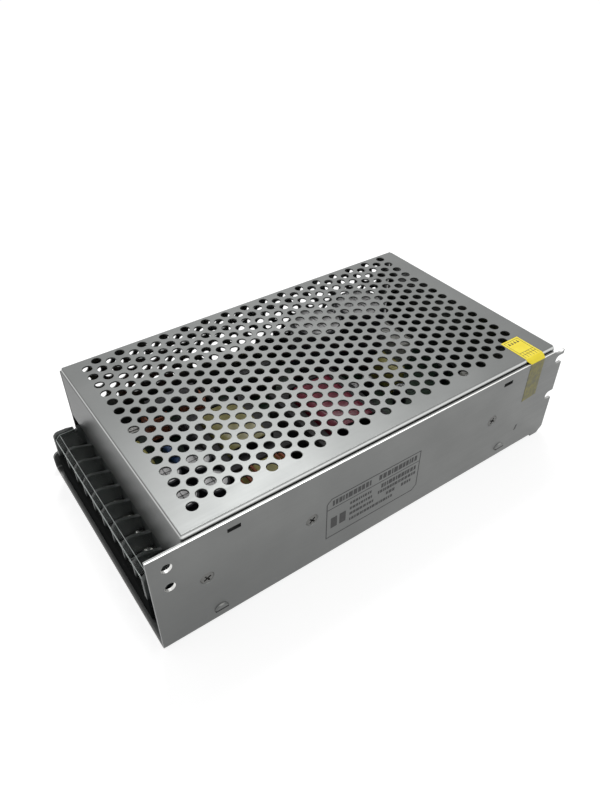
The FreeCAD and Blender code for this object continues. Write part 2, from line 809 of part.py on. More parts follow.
# Magnetics
class Transformer:
    """Ferrite core of two halves around a wound bobbin; the winding's axis runs along Y."""

    def __init__(self, place, size):
        self.x, self.y = on_board(place)
        self.width = size[0] * stretch_x
        self.length = size[1] * stretch_y
        self.thick = size[2] * stretch_z
        self.leg = self.width * core_leg_share
        self.window_end = self.width / 2 - self.leg
        self.window_half = self.length / 2 - self.leg
        self.build = (self.window_end - self.leg - bobbin_wall) * winding_share
        self.wound_x = self.leg + bobbin_wall + self.build
        self.wound_z = self.thick / 2 + bobbin_wall + self.build
        self.z = board_z1 + bobbin_wall + self.wound_z

    def centred(self, half_x, y0, y1, half_z):
        """A box about the winding's axis."""
        return block(self.x - half_x, self.x + half_x, y0, y1, self.z - half_z, self.z + half_z)

    def core(self):
        """The core with its two windows."""
        half = self.length / 2
        body = self.centred(self.width / 2, self.y - half, self.y + half, self.thick / 2)
        y0 = self.y - self.window_half
        y1 = self.y + self.window_half
        middle_leg = self.centred(self.leg, y0, y1, self.thick)
        return body.cut(self.centred(self.window_end, y0, y1, self.thick).cut(middle_leg))

    def bobbin(self):
        """Tube, two cheeks and two feet that stand on the board."""
        y0 = self.y - self.window_half + part_ease
        y1 = self.y + self.window_half - part_ease
        half_x = self.window_end - part_ease
        tube = self.centred(self.leg + bobbin_wall, y0, y1, self.thick / 2 + bobbin_wall)
        cheeks = [self.centred(half_x, a, a + bobbin_wall, self.wound_z) for a in (y0, y1 - bobbin_wall)]
        feet = [block(self.x - half_x, self.x + half_x, a, a + self.leg, board_z1, self.z - self.wound_z)
                for a in (y0, y1 - self.leg)]
        bore = self.centred(self.leg + part_ease, y0 - 1, y1 + 1, self.thick / 2 + part_ease)
        return tube.fuse(cheeks + feet).cut(bore)

    def winding(self):
        """The taped winding between the cheeks, rounded where it turns over the tube's edges."""
        inset = bobbin_wall + 2 * part_ease
        y0 = self.y - self.window_half + inset
        y1 = self.y + self.window_half - inset
        x0 = self.x - self.wound_x
        x1 = self.x + self.wound_x
        low = self.z - self.wound_z + part_ease
        high = self.z + self.wound_z
        section = [(x0, low), (x1, low), (x1, high), (x0, high)]
        tube_x = self.leg + bobbin_wall + part_ease
        tube_z = self.thick / 2 + bobbin_wall + part_ease
        solid = extrude_xz(section, [self.build] * len(section), y0, y1)
        return solid.cut(self.centred(tube_x, y0 - 1, y1 + 1, tube_z))


def ring(x, y, z, width, outer_d, inner_d):
    """A ring that stands on its rim, its axis along Y."""
    y0 = y - width / 2
    y1 = y + width / 2
    bore = prism_y(x, z, y0 - 1, y1 + 1, inner_d, choke_sides)
    return prism_y(x, z, y0, y1, outer_d, choke_sides).cut(bore)


def output_choke():
    """Ring core that stands on the board, and its copper winding, open over an angle at the top."""
    x, y = on_board(choke_place)
    scale = min(stretch_x, stretch_z)
    core_d = choke_core_d * scale
    hole_d = choke_core_hole * scale
    width = choke_core_width * stretch_y
    outer = core_d + 2 * choke_wire
    z = board_z1 + outer / 2
    ease = 2 * part_ease
    core = ring(x, y, z, width, core_d, hole_d)
    copper = ring(x, y, z, width + 2 * choke_wire, outer, hole_d - 2 * choke_wire)
    copper = copper.cut(ring(x, y, z, width + ease, core_d + ease, hole_d - ease))
    half = math.radians(choke_open_angle / 2)
    reach_x = outer * math.sin(half)
    reach_z = z + outer * math.cos(half)
    opening = [(x, z), (x - reach_x, reach_z), (x + reach_x, reach_z)]
    return core, copper.cut(extrude_xz(opening, [0] * len(opening), y - outer, y + outer))


def mains_choke():
    """Rectangular core that stands on the board, with a winding on each upright leg."""
    x, y = on_board(filter_place)
    half_w = filter_core[0] * stretch_x / 2
    half_d = filter_core[1] * stretch_y / 2
    z0 = board_z1
    z1 = z0 + filter_core[2] * stretch_z
    leg = filter_leg * stretch_xy
    window = block(x - half_w + leg, x + half_w - leg, y - half_d - 1, y + half_d + 1, z0 + leg, z1 - leg)
    core = block(x - half_w, x + half_w, y - half_d, y + half_d, z0, z1).cut(window)
    ease = part_ease
    coils = []
    for middle in (x - half_w + leg / 2, x + half_w - leg / 2):
        out_x = leg / 2 + filter_wire
        out_y = half_d + filter_wire
        coil = block(middle - out_x, middle + out_x, y - out_y, y + out_y, z0 + leg + ease, z1 - leg - ease)
        in_x = leg / 2 + ease
        in_y = half_d + ease
        coils.append(coil.cut(block(middle - in_x, middle + in_x, y - in_y, y + in_y, z0, z1)))
    return core, coils


# Parts that stand on the board
def standing_caps(places, size, sides):
    """Round capacitors of one size."""
    diameter = size[0] * stretch_xy
    top = board_z1 + size[1] * stretch_z
    return [prism(x, y, board_z1, top, diameter, sides) for x, y in map(on_board, places)]


def standing_boxes(places, size):
    """Box-shaped parts of one size."""
    half_w = size[0] * stretch_x / 2
    half_d = size[1] * stretch_y / 2
    top = board_z1 + size[2] * stretch_z
    made = []
    for x, y in map(on_board, places):
        made.append(block(x - half_w, x + half_w, y - half_d, y + half_d, board_z1, top))
    return made


def standing_discs(places, diameter, thick):
    """Discs that stand on edge, facing along X."""
    across = diameter * min(stretch_y, stretch_z)
    half = thick * stretch_x / 2
    z = board_z1 + across / 2
    return [prism_x(y, z, x - half, x + half, across) for x, y in map(on_board, places)]


def fuse_ends():
    """Centre of the fuse and the half lengths of its glass and of the whole."""
    x, y = on_board(fuse_place)
    outer = fuse_length * stretch_x / 2
    return x, y, outer - fuse_cap_length, outer


def fuse_glass():
    """Glass tube between the end caps."""
    x, y, inner, outer = fuse_ends()
    return prism_x(y, board_z1 + fuse_axis_height, x - inner, x + inner, fuse_d - 2 * fuse_glass_step)


def fuse_caps():
    """The two metal end caps."""
    x, y, inner, outer = fuse_ends()
    z = board_z1 + fuse_axis_height
    return [prism_x(y, z, x - outer, x - inner, fuse_d), prism_x(y, z, x + inner, x + outer, fuse_d)]


def fuse_clips():
    """Spring clips: a stem from the board and two walls that hold each cap."""
    x, y, inner, outer = fuse_ends()
    made = []
    half = fuse_d / 2
    w = fuse_clip_wall
    low = board_z1 + fuse_axis_height - half
    high = low + fuse_d * fuse_clip_grip
    for middle in (x - (inner + outer) / 2, x + (inner + outer) / 2):
        x0 = middle - fuse_clip_length / 2
        x1 = middle + fuse_clip_length / 2
        seat = block(x0, x1, y - half - w, y + half + w, low - w, low)
        walls = [block(x0, x1, a, a + w, low, high) for a in (y - half - w, y + half)]
        stem = block(x0, x1, y - w / 2, y + w / 2, board_z1, low - w)
        made.append(seat.fuse(walls + [stem]))
    return made


# Trimmer, lamp and sticker
def from_corner(inset):
    """A place measured from the near corner of the terminal end."""
    return x_left + inset[0], y_near + inset[1]


def trimmer_body():
    """Square body with a round well for the turning screw."""
    x, y = from_corner(trimmer_inset)
    half = trimmer_side / 2
    top = board_z1 + trimmer_height
    body = block(x - half, x + half, y - half, y + half, board_z1, top)
    return body.cut(cylinder(x, y, top - rotor_height, top + 1, rotor_d / 2 + rotor_clearance))


def trimmer_screw():
    """Slotted screw that sets the output voltage."""
    x, y = from_corner(trimmer_inset)
    top = board_z1 + trimmer_height + rotor_proud
    rotor = cylinder(x, y, top - rotor_proud - rotor_height + rotor_clearance, top, rotor_d / 2)
    half = rotor_slot / 2
    return rotor.cut(block(x - rotor_d, x + rotor_d, y - half, y + half, top - rotor_slot, top + 1))


def indicator_lamp():
    """Small lamp that shows the output is on."""
    x, y = from_corner(lamp_inset)
    return prism(x, y, board_z1, board_z1 + lamp_height, lamp_d, 12)


def seal_sticker():
    """Thin strip stuck on the top, over the gap and down the near wall."""
    x1 = x_right - seal_inset
    t = seal_thick
    top = case_height
    edge = cover_near + cover_bend / 2
    tail = wall_top - seal_on_wall
    start = y_near + seal_on_top
    section = [(start, top), (edge, top), (y_near, wall_top), (y_near, tail), (y_near - t, tail),
               (y_near - t, wall_top + t), (edge, top + t), (start, top + t)]
    return extrude_yz(section, [0] * len(section), x1 - seal_width, x1)


main_transformer = Transformer(main_core_place, main_core)
drive_transformer = Transformer(drive_core_place, drive_core)
choke_core, choke_winding = output_choke()
mains_core, mains_coils = mains_choke()

save("chassis", chassis())
save("mesh_cover", mesh_cover())
save("cover_screws", *cover_screws())
save("circuit_board", board())
save("insulating_sheet", insulating_sheet())
save("standoffs", *standoffs())
save("board_screws", *board_screws())
save("terminal_block", terminal_block())
save("terminal_contacts", *terminal_contacts())
save("terminal_clamps", *terminal_clamps())
save("terminal_screws", *terminal_screws())
save("terminal_cover", terminal_cover())
save("output_heat_bar", heat_bar(output_bar_span()))
save("input_heat_bar", heat_bar(input_bar_span()))
save("insulating_pads", *insulating_pads())
save("output_rectifiers", *devices(wall_screw_xs[1]))
save("switching_transistors", *devices(wall_screw_xs[2]))
save("clamp_strips", *clamp_strips())
save("wall_screws", *wall_screws())
save("main_transformer_core", main_transformer.core())
save("main_transformer_bobbin", main_transformer.bobbin())
save("main_transformer_winding", main_transformer.winding())
save("drive_transformer_core", drive_transformer.core())
save("drive_transformer_bobbin", drive_transformer.bobbin())
save("drive_transformer_winding", drive_transformer.winding())
save("output_choke_core", choke_core)
save("output_choke_winding", choke_winding)
save("mains_choke_core", mains_core)
save("mains_choke_windings", *mains_coils)
save("bulk_capacitors", *standing_caps(bulk_cap_places, bulk_cap, 20))
save("output_capacitors", *standing_caps(output_cap_places, output_cap, 16))
save("small_capacitors", *standing_caps(small_cap_places, small_cap, 12))
save("film_capacitors", *standing_boxes(film_cap_places, film_cap))
save("disc_capacitors", *standing_discs(disc_cap_places, disc_cap_d, disc_cap_thick))
save("inrush_limiter", *standing_discs([limiter_place], limiter_d, limiter_thick))
save("bridge_rectifier", *standing_boxes([bridge_place], bridge))
save("controller_chip", *standing_boxes([chip_place], chip))
save("power_resistors", *standing_boxes(resistor_places, resistor))
save("fuse_glass", fuse_glass())
save("fuse_caps", *fuse_caps())
save("fuse_clips", *fuse_clips())
save("trimmer_body", trimmer_body())
save("trimmer_screw", trimmer_screw())
save("indicator_lamp", indicator_lamp())
save("seal_sticker", seal_sticker())
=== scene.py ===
"""Looks of a mesh case switching power supply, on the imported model's frame.

Sizes in this script are millimetres in the model's own frame, and become metres when a mesh is made.
"""

import math
import random

import bmesh
import bpy
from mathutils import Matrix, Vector


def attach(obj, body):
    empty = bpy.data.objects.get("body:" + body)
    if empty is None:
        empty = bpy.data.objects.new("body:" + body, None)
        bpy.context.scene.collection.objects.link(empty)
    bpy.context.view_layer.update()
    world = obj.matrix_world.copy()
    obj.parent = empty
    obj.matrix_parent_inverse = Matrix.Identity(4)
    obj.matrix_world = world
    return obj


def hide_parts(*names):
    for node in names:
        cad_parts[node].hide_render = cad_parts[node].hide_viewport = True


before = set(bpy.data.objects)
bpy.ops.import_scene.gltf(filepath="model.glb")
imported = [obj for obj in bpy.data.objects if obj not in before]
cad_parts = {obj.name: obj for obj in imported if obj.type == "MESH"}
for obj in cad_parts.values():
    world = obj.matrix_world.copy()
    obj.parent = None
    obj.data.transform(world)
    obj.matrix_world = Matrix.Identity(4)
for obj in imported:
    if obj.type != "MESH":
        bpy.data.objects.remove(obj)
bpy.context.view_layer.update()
MM = 0.001

# Case, as in the model
CASE_Y = 55.0
TOP = 50.0
CHASSIS_SHEET = 1.2
COVER_SHEET = 0.8
INNER_BEND = 0.3
COVER_BEND = INNER_BEND + COVER_SHEET
COVER_X0 = -86.5
COVER_X1 = 94.7
COVER_NEAR = -53.4
COVER_FOOT = 1.6
WALL_TOP = 48.4
NEAR_FLANGE = 9.0
END_FLANGE = 24.4
CORNER_GAP = 0.5
BOARD_TOP = 7.8

# Perforation
HOLE_RADIUS = 2.1
HOLE_SIDES = 24
HOLE_CHAMFER = 0.12
PITCH_X = 5.2
PITCH_Y = 3.265
FIRST_X = COVER_X0 + 9.5
FIRST_Y = COVER_NEAR + 9.6
COLUMNS = 32
ROWS = 30
FAR_ROWS = 7
FAR_FIRST_Z = TOP - 4.1
FAR_SCREW_INSET = 22.0
FAR_SCREW_HEIGHT = 4.4
FAR_SCREW_RADIUS = 1.7
SHEET_LAP = HOLE_CHAMFER + 0.02
CORNER_STEPS = 8


# Mesh helpers; angles in degrees, the weld in metres
WELD = 0.000002
FLAT_ANGLE = 1
SHARP_ANGLE = 35
MOULDED_ANGLE = 40
WIRE_ANGLE = 60


def new_object(name, data):
    """An object in the scene for a mesh, a curve, a camera or a lamp."""
    made = bpy.data.objects.new(name, data)
    bpy.context.scene.collection.objects.link(made)
    return made


def evaluated_mesh(source):
    """The mesh that an object comes to, with its modifiers or its curve worked out."""
    return bpy.data.meshes.new_from_object(source.evaluated_get(bpy.context.evaluated_depsgraph_get()))


def curve_mesh(name, curve):
    """The mesh of a curve."""
    holder = new_object(name, curve)
    mesh = evaluated_mesh(holder)
    bpy.data.objects.remove(holder)
    return mesh


def add_spline(curve, points):
    """A spline of straight runs through the points."""
    spline = curve.splines.new("POLY")
    spline.points.add(len(points) - 1)
    for point, place in zip(spline.points, points):
        point.co = (*place, 1)
    return spline


def make_mesh(name, points, faces):
    """A mesh object from points in millimetres."""
    mesh = bpy.data.meshes.new(name)
    mesh.from_pydata([(x * MM, y * MM, z * MM) for x, y, z in points], [], faces)
    mesh.validate()
    return new_object(name, mesh)


def join(name, pieces):
    """One object out of several."""
    graph = bmesh.new()
    for piece in pieces:
        graph.from_mesh(piece.data)
        bpy.data.objects.remove(piece)
    bmesh.ops.recalc_face_normals(graph, faces=graph.faces)
    mesh = bpy.data.meshes.new(name)
    graph.to_mesh(mesh)
    graph.free()
    return new_object(name, mesh)


def finish_piece(piece, body, material, replaced=None, smooth_angle=None):
    """Material, slot, body and shading of a new piece."""
    piece.data.materials.clear()
    piece.data.materials.append(material)
    if smooth_angle:
        for polygon in piece.data.polygons:
            polygon.use_smooth = True
        piece.data.set_sharp_from_angle(angle=math.radians(smooth_angle))
    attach(piece, body)
    if replaced:
        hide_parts(replaced)


def rounded(points, radii, steps=6):
    """Outline points with each corner rounded by its radius."""
    result = []
    count = len(points)
    for i, radius in enumerate(radii):
        here = Vector(points[i])
        if radius <= 0:
            result.append(tuple(here))
            continue
        back = (Vector(points[i - 1]) - here).normalized()
        ahead = (Vector(points[(i + 1) % count]) - here).normalized()
        half = back.angle(ahead) / 2
        reach = radius / math.tan(half)
        centre = here + (back + ahead).normalized() * (radius / math.sin(half))
        start = here + back * reach - centre
        end = here + ahead * reach - centre
        sweep = start.angle_signed(end)
        for k in range(steps + 1):
            turn = -sweep * k / steps
            result.append((centre.x + start.x * math.cos(turn) - start.y * math.sin(turn),
                           centre.y + start.x * math.sin(turn) + start.y * math.cos(turn)))
    return result


def run_section(name, section, place, a, b):
    """A closed section run from a to b; place(u, v, w) gives the point."""
    count = len(section)
    points = [place(u, v, a) for u, v in section] + [place(u, v, b) for u, v in section]
    faces = [(i, (i + 1) % count, count + (i + 1) % count, count + i) for i in range(count)]
    faces += [tuple(range(count))[::-1], tuple(range(count, 2 * count))]
    return make_mesh(name, points, faces)


def along_x(u, v, w):
    return (w, u, v)


def along_y(u, v, w):
    return (u, w, v)


def along_z(u, v, w):
    return (u, v, w)


def box(name, low, high):
    """A box between two corners."""
    (x0, y0, z0), (x1, y1, z1) = low, high
    return run_section(name, [(x0, y0), (x1, y0), (x1, y1), (x0, y1)], along_z, z0, z1)


def lathe(name, profile, place, sides):
    """A closed surface turned from (radius, height) points; place(u, v, w) gives the point."""
    points = []
    for radius, height in profile:
        for k in range(sides):
            turn = 2 * math.pi * k / sides
            points.append(place(radius * math.cos(turn), radius * math.sin(turn), height))
    faces = []
    for ring in range(len(profile) - 1):
        for k in range(sides):
            a = ring * sides + k
            b = ring * sides + (k + 1) % sides
            faces.append((a, b, b + sides, a + sides))
    faces.append(tuple(range(sides))[::-1])
    faces.append(tuple(range((len(profile) - 1) * sides, len(profile) * sides)))
    return make_mesh(name, points, faces)


def at(x, y, z):
    """A place function for upright pieces about a point."""
    return lambda u, v, w: (x + u, y + v, z + w)


def carve(name, piece, cutter):
    """The piece with the cutter's volume taken out."""
    for solid in (piece, cutter):
        graph = bmesh.new()
        graph.from_mesh(solid.data)
        bmesh.ops.recalc_face_normals(graph, faces=graph.faces)
        graph.to_mesh(solid.data)
        graph.free()
    modifier = piece.modifiers.new("carve", "BOOLEAN")
    modifier.operation = "DIFFERENCE"
    modifier.solver = "EXACT"
    modifier.object = cutter
    mesh = evaluated_mesh(piece)
    bpy.data.objects.remove(piece)
    bpy.data.objects.remove(cutter)
    return new_object(name, mesh)


def cross(reach, half):
    """Outline of a cross recess."""
    return [(half, half), (half, reach), (-half, reach), (-half, half), (-reach, half), (-reach, -half),
            (-half, -half), (-half, -reach), (half, -reach), (half, -half), (reach, -half), (reach, half)]


def wire(name, path, radius):
    """A round wire along a path of points."""
    curve = bpy.data.curves.new(name, "CURVE")
    curve.dimensions = "3D"
    curve.bevel_depth = radius * MM
    curve.bevel_resolution = 2
    curve.use_fill_caps = True
    add_spline(curve, [(x * MM, y * MM, z * MM) for x, y, z in path])
    return new_object(name, curve_mesh(name, curve))


def node_graph(name):
    """An editable copy of a carried-over node's mesh, in metres in the frame's own axes."""
    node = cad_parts[name]
    graph = bmesh.new()
    graph.from_mesh(node.data)
    graph.transform(node.matrix_world)
    bmesh.ops.remove_doubles(graph, verts=graph.verts, dist=WELD)
    flat = math.radians(FLAT_ANGLE)
    bmesh.ops.dissolve_limit(graph, angle_limit=flat, verts=graph.verts, edges=graph.edges)
    return graph


def soften(name, radius, material):
    """Rounds a node's sharp edges, in a piece that takes its place."""
    graph = node_graph(name)
    limit = math.radians(SHARP_ANGLE)
    sharp = [edge for edge in graph.edges if edge.is_manifold and edge.calc_face_angle(0) > limit]
    bmesh.ops.bevel(graph, geom=sharp, offset=radius * MM, segments=2, affect="EDGES", profile=0.5,
                    clamp_overlap=True)
    mesh = bpy.data.meshes.new(name + "_soft")
    graph.to_mesh(mesh)
    graph.free()
    finish_piece(new_object(name + "_soft", mesh), "supply", material, name, MOULDED_ANGLE)


def perforated(name, outline, circles, thickness, place):
    """A flat sheet with chamfered round holes, filled from a 2D curve; place(u, v, w) gives the point.

    The outer edge is chamfered too, so an outline that meets a fold runs on under it by the chamfer.
    """
    curve = bpy.data.curves.new(name, "CURVE")
    curve.dimensions = "2D"
    curve.fill_mode = "BOTH"
    curve.extrude = thickness / 2 - HOLE_CHAMFER
    curve.bevel_depth = HOLE_CHAMFER
    curve.bevel_resolution = 0
    curve.offset = -HOLE_CHAMFER
    loops = [outline]
    for u, v, radius in circles:
        loops.append([(u + radius * math.cos(2 * math.pi * k / HOLE_SIDES),
                       v - radius * math.sin(2 * math.pi * k / HOLE_SIDES)) for k in range(HOLE_SIDES)])
    for loop in loops:
        add_spline(curve, [(u, v, 0) for u, v in loop]).use_cyclic_u = True
    mesh = curve_mesh(name, curve)
    for vertex in mesh.vertices:
        u, v, w = vertex.co
        vertex.co = Vector(place(u, v, w)) * MM
    return new_object(name, mesh)


# Materials; texture scales in cycles a metre, relief in metres, the block's rise and the seal's bend in millimetres
CLOUDS = 38
SMUDGES = 14
SHEET_GRAIN = 900
SHEET_STRETCH = (0.04, 1, 1)
METAL_MARKS = 700
PLASTIC_GRAIN = 1500
SMALL_RELIEF = 0.00005
# BLOCK_RISE: where the terminal block's painted light begins
BLOCK_RISE = (13.5, 16.0)
# SEAL_BEND: where the sticker turns to its painted shade and wear, down the wall
SEAL_BEND = (48.1, 48.5)
BARRIER_GLEAM = 0.36


def shader(name):
    """A new material, its nodes, its links and its main shader."""
    material = bpy.data.materials.new(name)
    material.use_nodes = True
    nodes = material.node_tree.nodes
    return material, nodes, material.node_tree.links, nodes["Principled BSDF"]


def noise(nodes, links, scale, detail, stretch=(1, 1, 1)):
    """Noise over the object's own coordinates, in cycles a metre."""
    where = nodes.new("ShaderNodeTexCoord")
    mapping = nodes.new("ShaderNodeMapping")
    mapping.inputs["Scale"].default_value = stretch
    texture = nodes.new("ShaderNodeTexNoise")
    texture.inputs["Scale"].default_value = scale
    texture.inputs["Detail"].default_value = detail
    links.new(where.outputs["Object"], mapping.inputs["Vector"])
    links.new(mapping.outputs["Vector"], texture.inputs["Vector"])
    return texture.outputs["Fac"]


def ramp(nodes, links, value, low, high, start=0.3, end=0.7):
    """A two-colour ramp."""
    node = nodes.new("ShaderNodeValToRGB")
    node.color_ramp.elements[0].position = start
    node.color_ramp.elements[0].color = (*low, 1)
    node.color_ramp.elements[1].position = end
    node.color_ramp.elements[1].color = (*high, 1)
    links.new(value, node.inputs["Fac"])
    return node.outputs["Color"]


def grey_range(nodes, links, value, low, high):
    """A value moved into a range."""
    node = nodes.new("ShaderNodeMapRange")
    node.inputs["To Min"].default_value = low
    node.inputs["To Max"].default_value = high
    links.new(value, node.inputs["Value"])
    return node.outputs["Result"]


def bump(nodes, links, shade, value, strength, distance):
    """A small relief."""
    node = nodes.new("ShaderNodeBump")
    node.inputs["Strength"].default_value = strength
    node.inputs["Distance"].default_value = distance
    links.new(value, node.inputs["Height"])
    links.new(node.outputs["Normal"], shade.inputs["Normal"])


def edge_mask(nodes, links, axis, start, end):
    """Rises from 0 to 1 between two places in millimetres along one of the object's own axes."""
    where = nodes.new("ShaderNodeTexCoord")
    split = nodes.new("ShaderNodeSeparateXYZ")
    node = nodes.new("ShaderNodeMapRange")
    node.inputs["From Min"].default_value = start * MM
    node.inputs["From Max"].default_value = end * MM
    links.new(where.outputs["Object"], split.inputs["Vector"])
    links.new(split.outputs[axis], node.inputs["Value"])
    return node.outputs["Result"]


def combined(nodes, links, operation, a, b):
    """Two values put through one operation, such as MULTIPLY or MAXIMUM."""
    node = nodes.new("ShaderNodeMath")
    node.operation = operation
    links.new(a, node.inputs[0])
    links.new(b, node.inputs[1])
    return node.outputs[0]


def mixed(nodes, links, factor, low, high):
    """One colour turned into another by a factor; the second is a plain colour or an output."""
    node = nodes.new("ShaderNodeMix")
    node.data_type = "RGBA"
    links.new(factor, node.inputs["Factor"])
    links.new(low, node.inputs["A"])
    if isinstance(high, tuple):
        node.inputs["B"].default_value = (*high, 1)
    else:
        links.new(high, node.inputs["B"])
    return node.outputs["Result"]


def sheet_metal(name, low, high, roughness, zones):
    """Satin sheet metal: a cloudy tone, a fine grain along the sheet, and zones of painted highlight and painted
    shade.
    """
    material, nodes, links, shade = shader(name)
    shade.inputs["Metallic"].default_value = 0.95
    cloud = noise(nodes, links, CLOUDS, 5)
    fine = noise(nodes, links, SHEET_GRAIN, 3, SHEET_STRETCH)
    smudge = noise(nodes, links, SMUDGES, 3)
    colour = ramp(nodes, links, cloud, low, high)
    for zone, first, second in zones:
        masks = edge_mask(nodes, links, *first), edge_mask(nodes, links, *second)
        colour = mixed(nodes, links, combined(nodes, links, "MULTIPLY", *masks), colour, zone)
    links.new(colour, shade.inputs["Base Color"])
    worn = combined(nodes, links, "MULTIPLY", fine, smudge)
    links.new(grey_range(nodes, links, worn, roughness - 0.05, roughness + 0.15), shade.inputs["Roughness"])
    bump(nodes, links, shade, fine, 0.08, 0.00003)
    return material


def plain_metal(name, colour, roughness):
    """Small metal parts, with slight handling marks in their polish."""
    material, nodes, links, shade = shader(name)
    shade.inputs["Metallic"].default_value = 1.0
    marks = noise(nodes, links, METAL_MARKS, 5)
    low = [c * 0.85 for c in colour]
    links.new(ramp(nodes, links, marks, low, colour), shade.inputs["Base Color"])
    links.new(grey_range(nodes, links, marks, roughness - 0.08, roughness + 0.12), shade.inputs["Roughness"])
    return material


def plastic(name, colour, roughness, relief=0.1, vary=0.8, gloss=0.5):
    """Moulded plastic, epoxy or ceramic: a fine grain in tone and relief."""
    material, nodes, links, shade = shader(name)
    shade.inputs["Specular IOR Level"].default_value = gloss
    grain = noise(nodes, links, PLASTIC_GRAIN, 4)
    links.new(ramp(nodes, links, grain, [c * vary for c in colour], colour), shade.inputs["Base Color"])
    links.new(grey_range(nodes, links, grain, roughness - 0.05, roughness + 0.08), shade.inputs["Roughness"])
    bump(nodes, links, shade, grain, relief, SMALL_RELIEF)
    return material


def block_plastic(name, foot, lit_upper):
    """The terminal block's black plastic: matt at its foot, and on its barriers paler, with painted light, and a
    slight gleam.
    """
    material, nodes, links, shade = shader(name)
    grain = noise(nodes, links, PLASTIC_GRAIN, 4)
    raised = edge_mask(nodes, links, "Z", *BLOCK_RISE)
    tone = ramp(nodes, links, grain, [c * 0.9 for c in foot], foot)
    links.new(mixed(nodes, links, raised, tone, lit_upper), shade.inputs["Base Color"])
    links.new(grey_range(nodes, links, raised, 0.0, BARRIER_GLEAM), shade.inputs["Specular IOR Level"])
    links.new(grey_range(nodes, links, grain, 0.35, 0.48), shade.inputs["Roughness"])
    return material


def glinting_metal(name, colour, roughness):
    """Tin plated metal with painted glints, a mottle of darker and brighter patches, and a slight relief that
    flashes.
    """
    material, nodes, links, shade = shader(name)
    shade.inputs["Metallic"].default_value = 1.0
    glint_patches = noise(nodes, links, METAL_MARKS, 3)
    links.new(ramp(nodes, links, glint_patches, [c * 0.5 for c in colour], colour, 0.36, 0.55), shade.inputs["Base Color"])
    shade.inputs["Roughness"].default_value = roughness
    bump(nodes, links, shade, glint_patches, 0.25, 0.0002)
    return material


def clear_plastic(name, colour, face_on, edge_on):
    """Clear moulded plastic: light goes through it, less so where it is seen edge on."""
    material, nodes, links, shade = shader(name)
    shade.inputs["Base Color"].default_value = (*colour, 1)
    shade.inputs["IOR"].default_value = 1.6
    weight = nodes.new("ShaderNodeLayerWeight")
    weight.inputs["Blend"].default_value = 0.35
    links.new(grey_range(nodes, links, weight.outputs["Facing"], face_on, edge_on), shade.inputs["Alpha"])
    wear = noise(nodes, links, 300, 4)
    links.new(grey_range(nodes, links, wear, 0.03, 0.12), shade.inputs["Roughness"])
    return material


def seal_film(name):
    """Yellow printed film: bright and smooth on the top; on the wall darker and mottled, with wear and painted
    shade.
    """
    material, nodes, links, shade = shader(name)
    patches = noise(nodes, links, 420, 5)
    # On the wall the film is darker and mottled: wear and painted shade
    worn_and_shaded = ramp(nodes, links, patches, (0.075, 0.070, 0.008), (0.17, 0.15, 0.012), 0.35, 0.65)
    fresh = ramp(nodes, links, noise(nodes, links, 260, 3), (0.95, 0.76, 0.02), (1.0, 0.84, 0.04))
    top = edge_mask(nodes, links, "Z", *SEAL_BEND)
    links.new(mixed(nodes, links, top, worn_and_shaded, fresh), shade.inputs["Base Color"])
    links.new(grey_range(nodes, links, patches, 0.30, 0.50), shade.inputs["Roughness"])
    bump(nodes, links, shade, patches, 0.15, SMALL_RELIEF)
    return material


# Colours of zones of the sheets, painted highlights and painted shade; a zone comes in between two places in
# millimetres, along each of two axes
# Painted highlight along the near wall's top cut edge
CUT_EDGE_HIGHLIGHT = (0.80, 0.80, 0.78)
# Painted highlight on the cut edges of the end tab's slots, dimmer than the top edge's
TAB_EDGE_HIGHLIGHT = (0.36, 0.36, 0.355)
# Painted highlight along the cover's near and left folds
FOLD_HIGHLIGHT = (0.62, 0.63, 0.62)
# Painted shade: the chassis darker to the left and towards the bottom, and the cover's end flange below its fold
SHADED_SHEET = (0.128, 0.132, 0.130)
# Painted highlight on the top of the pressed louvers
LOUVER_HIGHLIGHT = (0.40, 0.40, 0.39)
# Painted shadow under the louvers, along their cut
LOUVER_SHADOW = (0.012, 0.012, 0.012)
# Painted shade on the far half of the cover's end flange
FAR_FLANGE_SHADE = (0.070, 0.073, 0.072)
# Painted highlight on the end edge of the chassis floor's strip
STRIP_EDGE_HIGHLIGHT = (0.26, 0.26, 0.255)
# The chassis: painted shade darker to the left and towards the bottom, painted highlights on cut edges and louvers,
# painted shadow under the louvers
chassis_metal = sheet_metal("chassis_metal", (0.160, 0.164, 0.161), (0.190, 0.194, 0.190), 0.40, [
    (SHADED_SHEET, ("X", 20.0, -110.0), ("Z", 45.0, 0.0)),
    (CUT_EDGE_HIGHLIGHT, ("Z", 48.25, 48.38), ("Y", -54.50, -54.60)),
    (TAB_EDGE_HIGHLIGHT, ("X", 95.0, 95.3), ("Y", -54.97, -54.90)),
    (STRIP_EDGE_HIGHLIGHT, ("X", -98.6, -99.0), ("Z", 1.8, 1.4)),
    (LOUVER_HIGHLIGHT, ("Z", 7.6, 8.1), ("Y", -55.05, -55.25)),
    (LOUVER_SHADOW, ("Z", 6.1, 5.8), ("Y", -55.20, -55.35)),
])
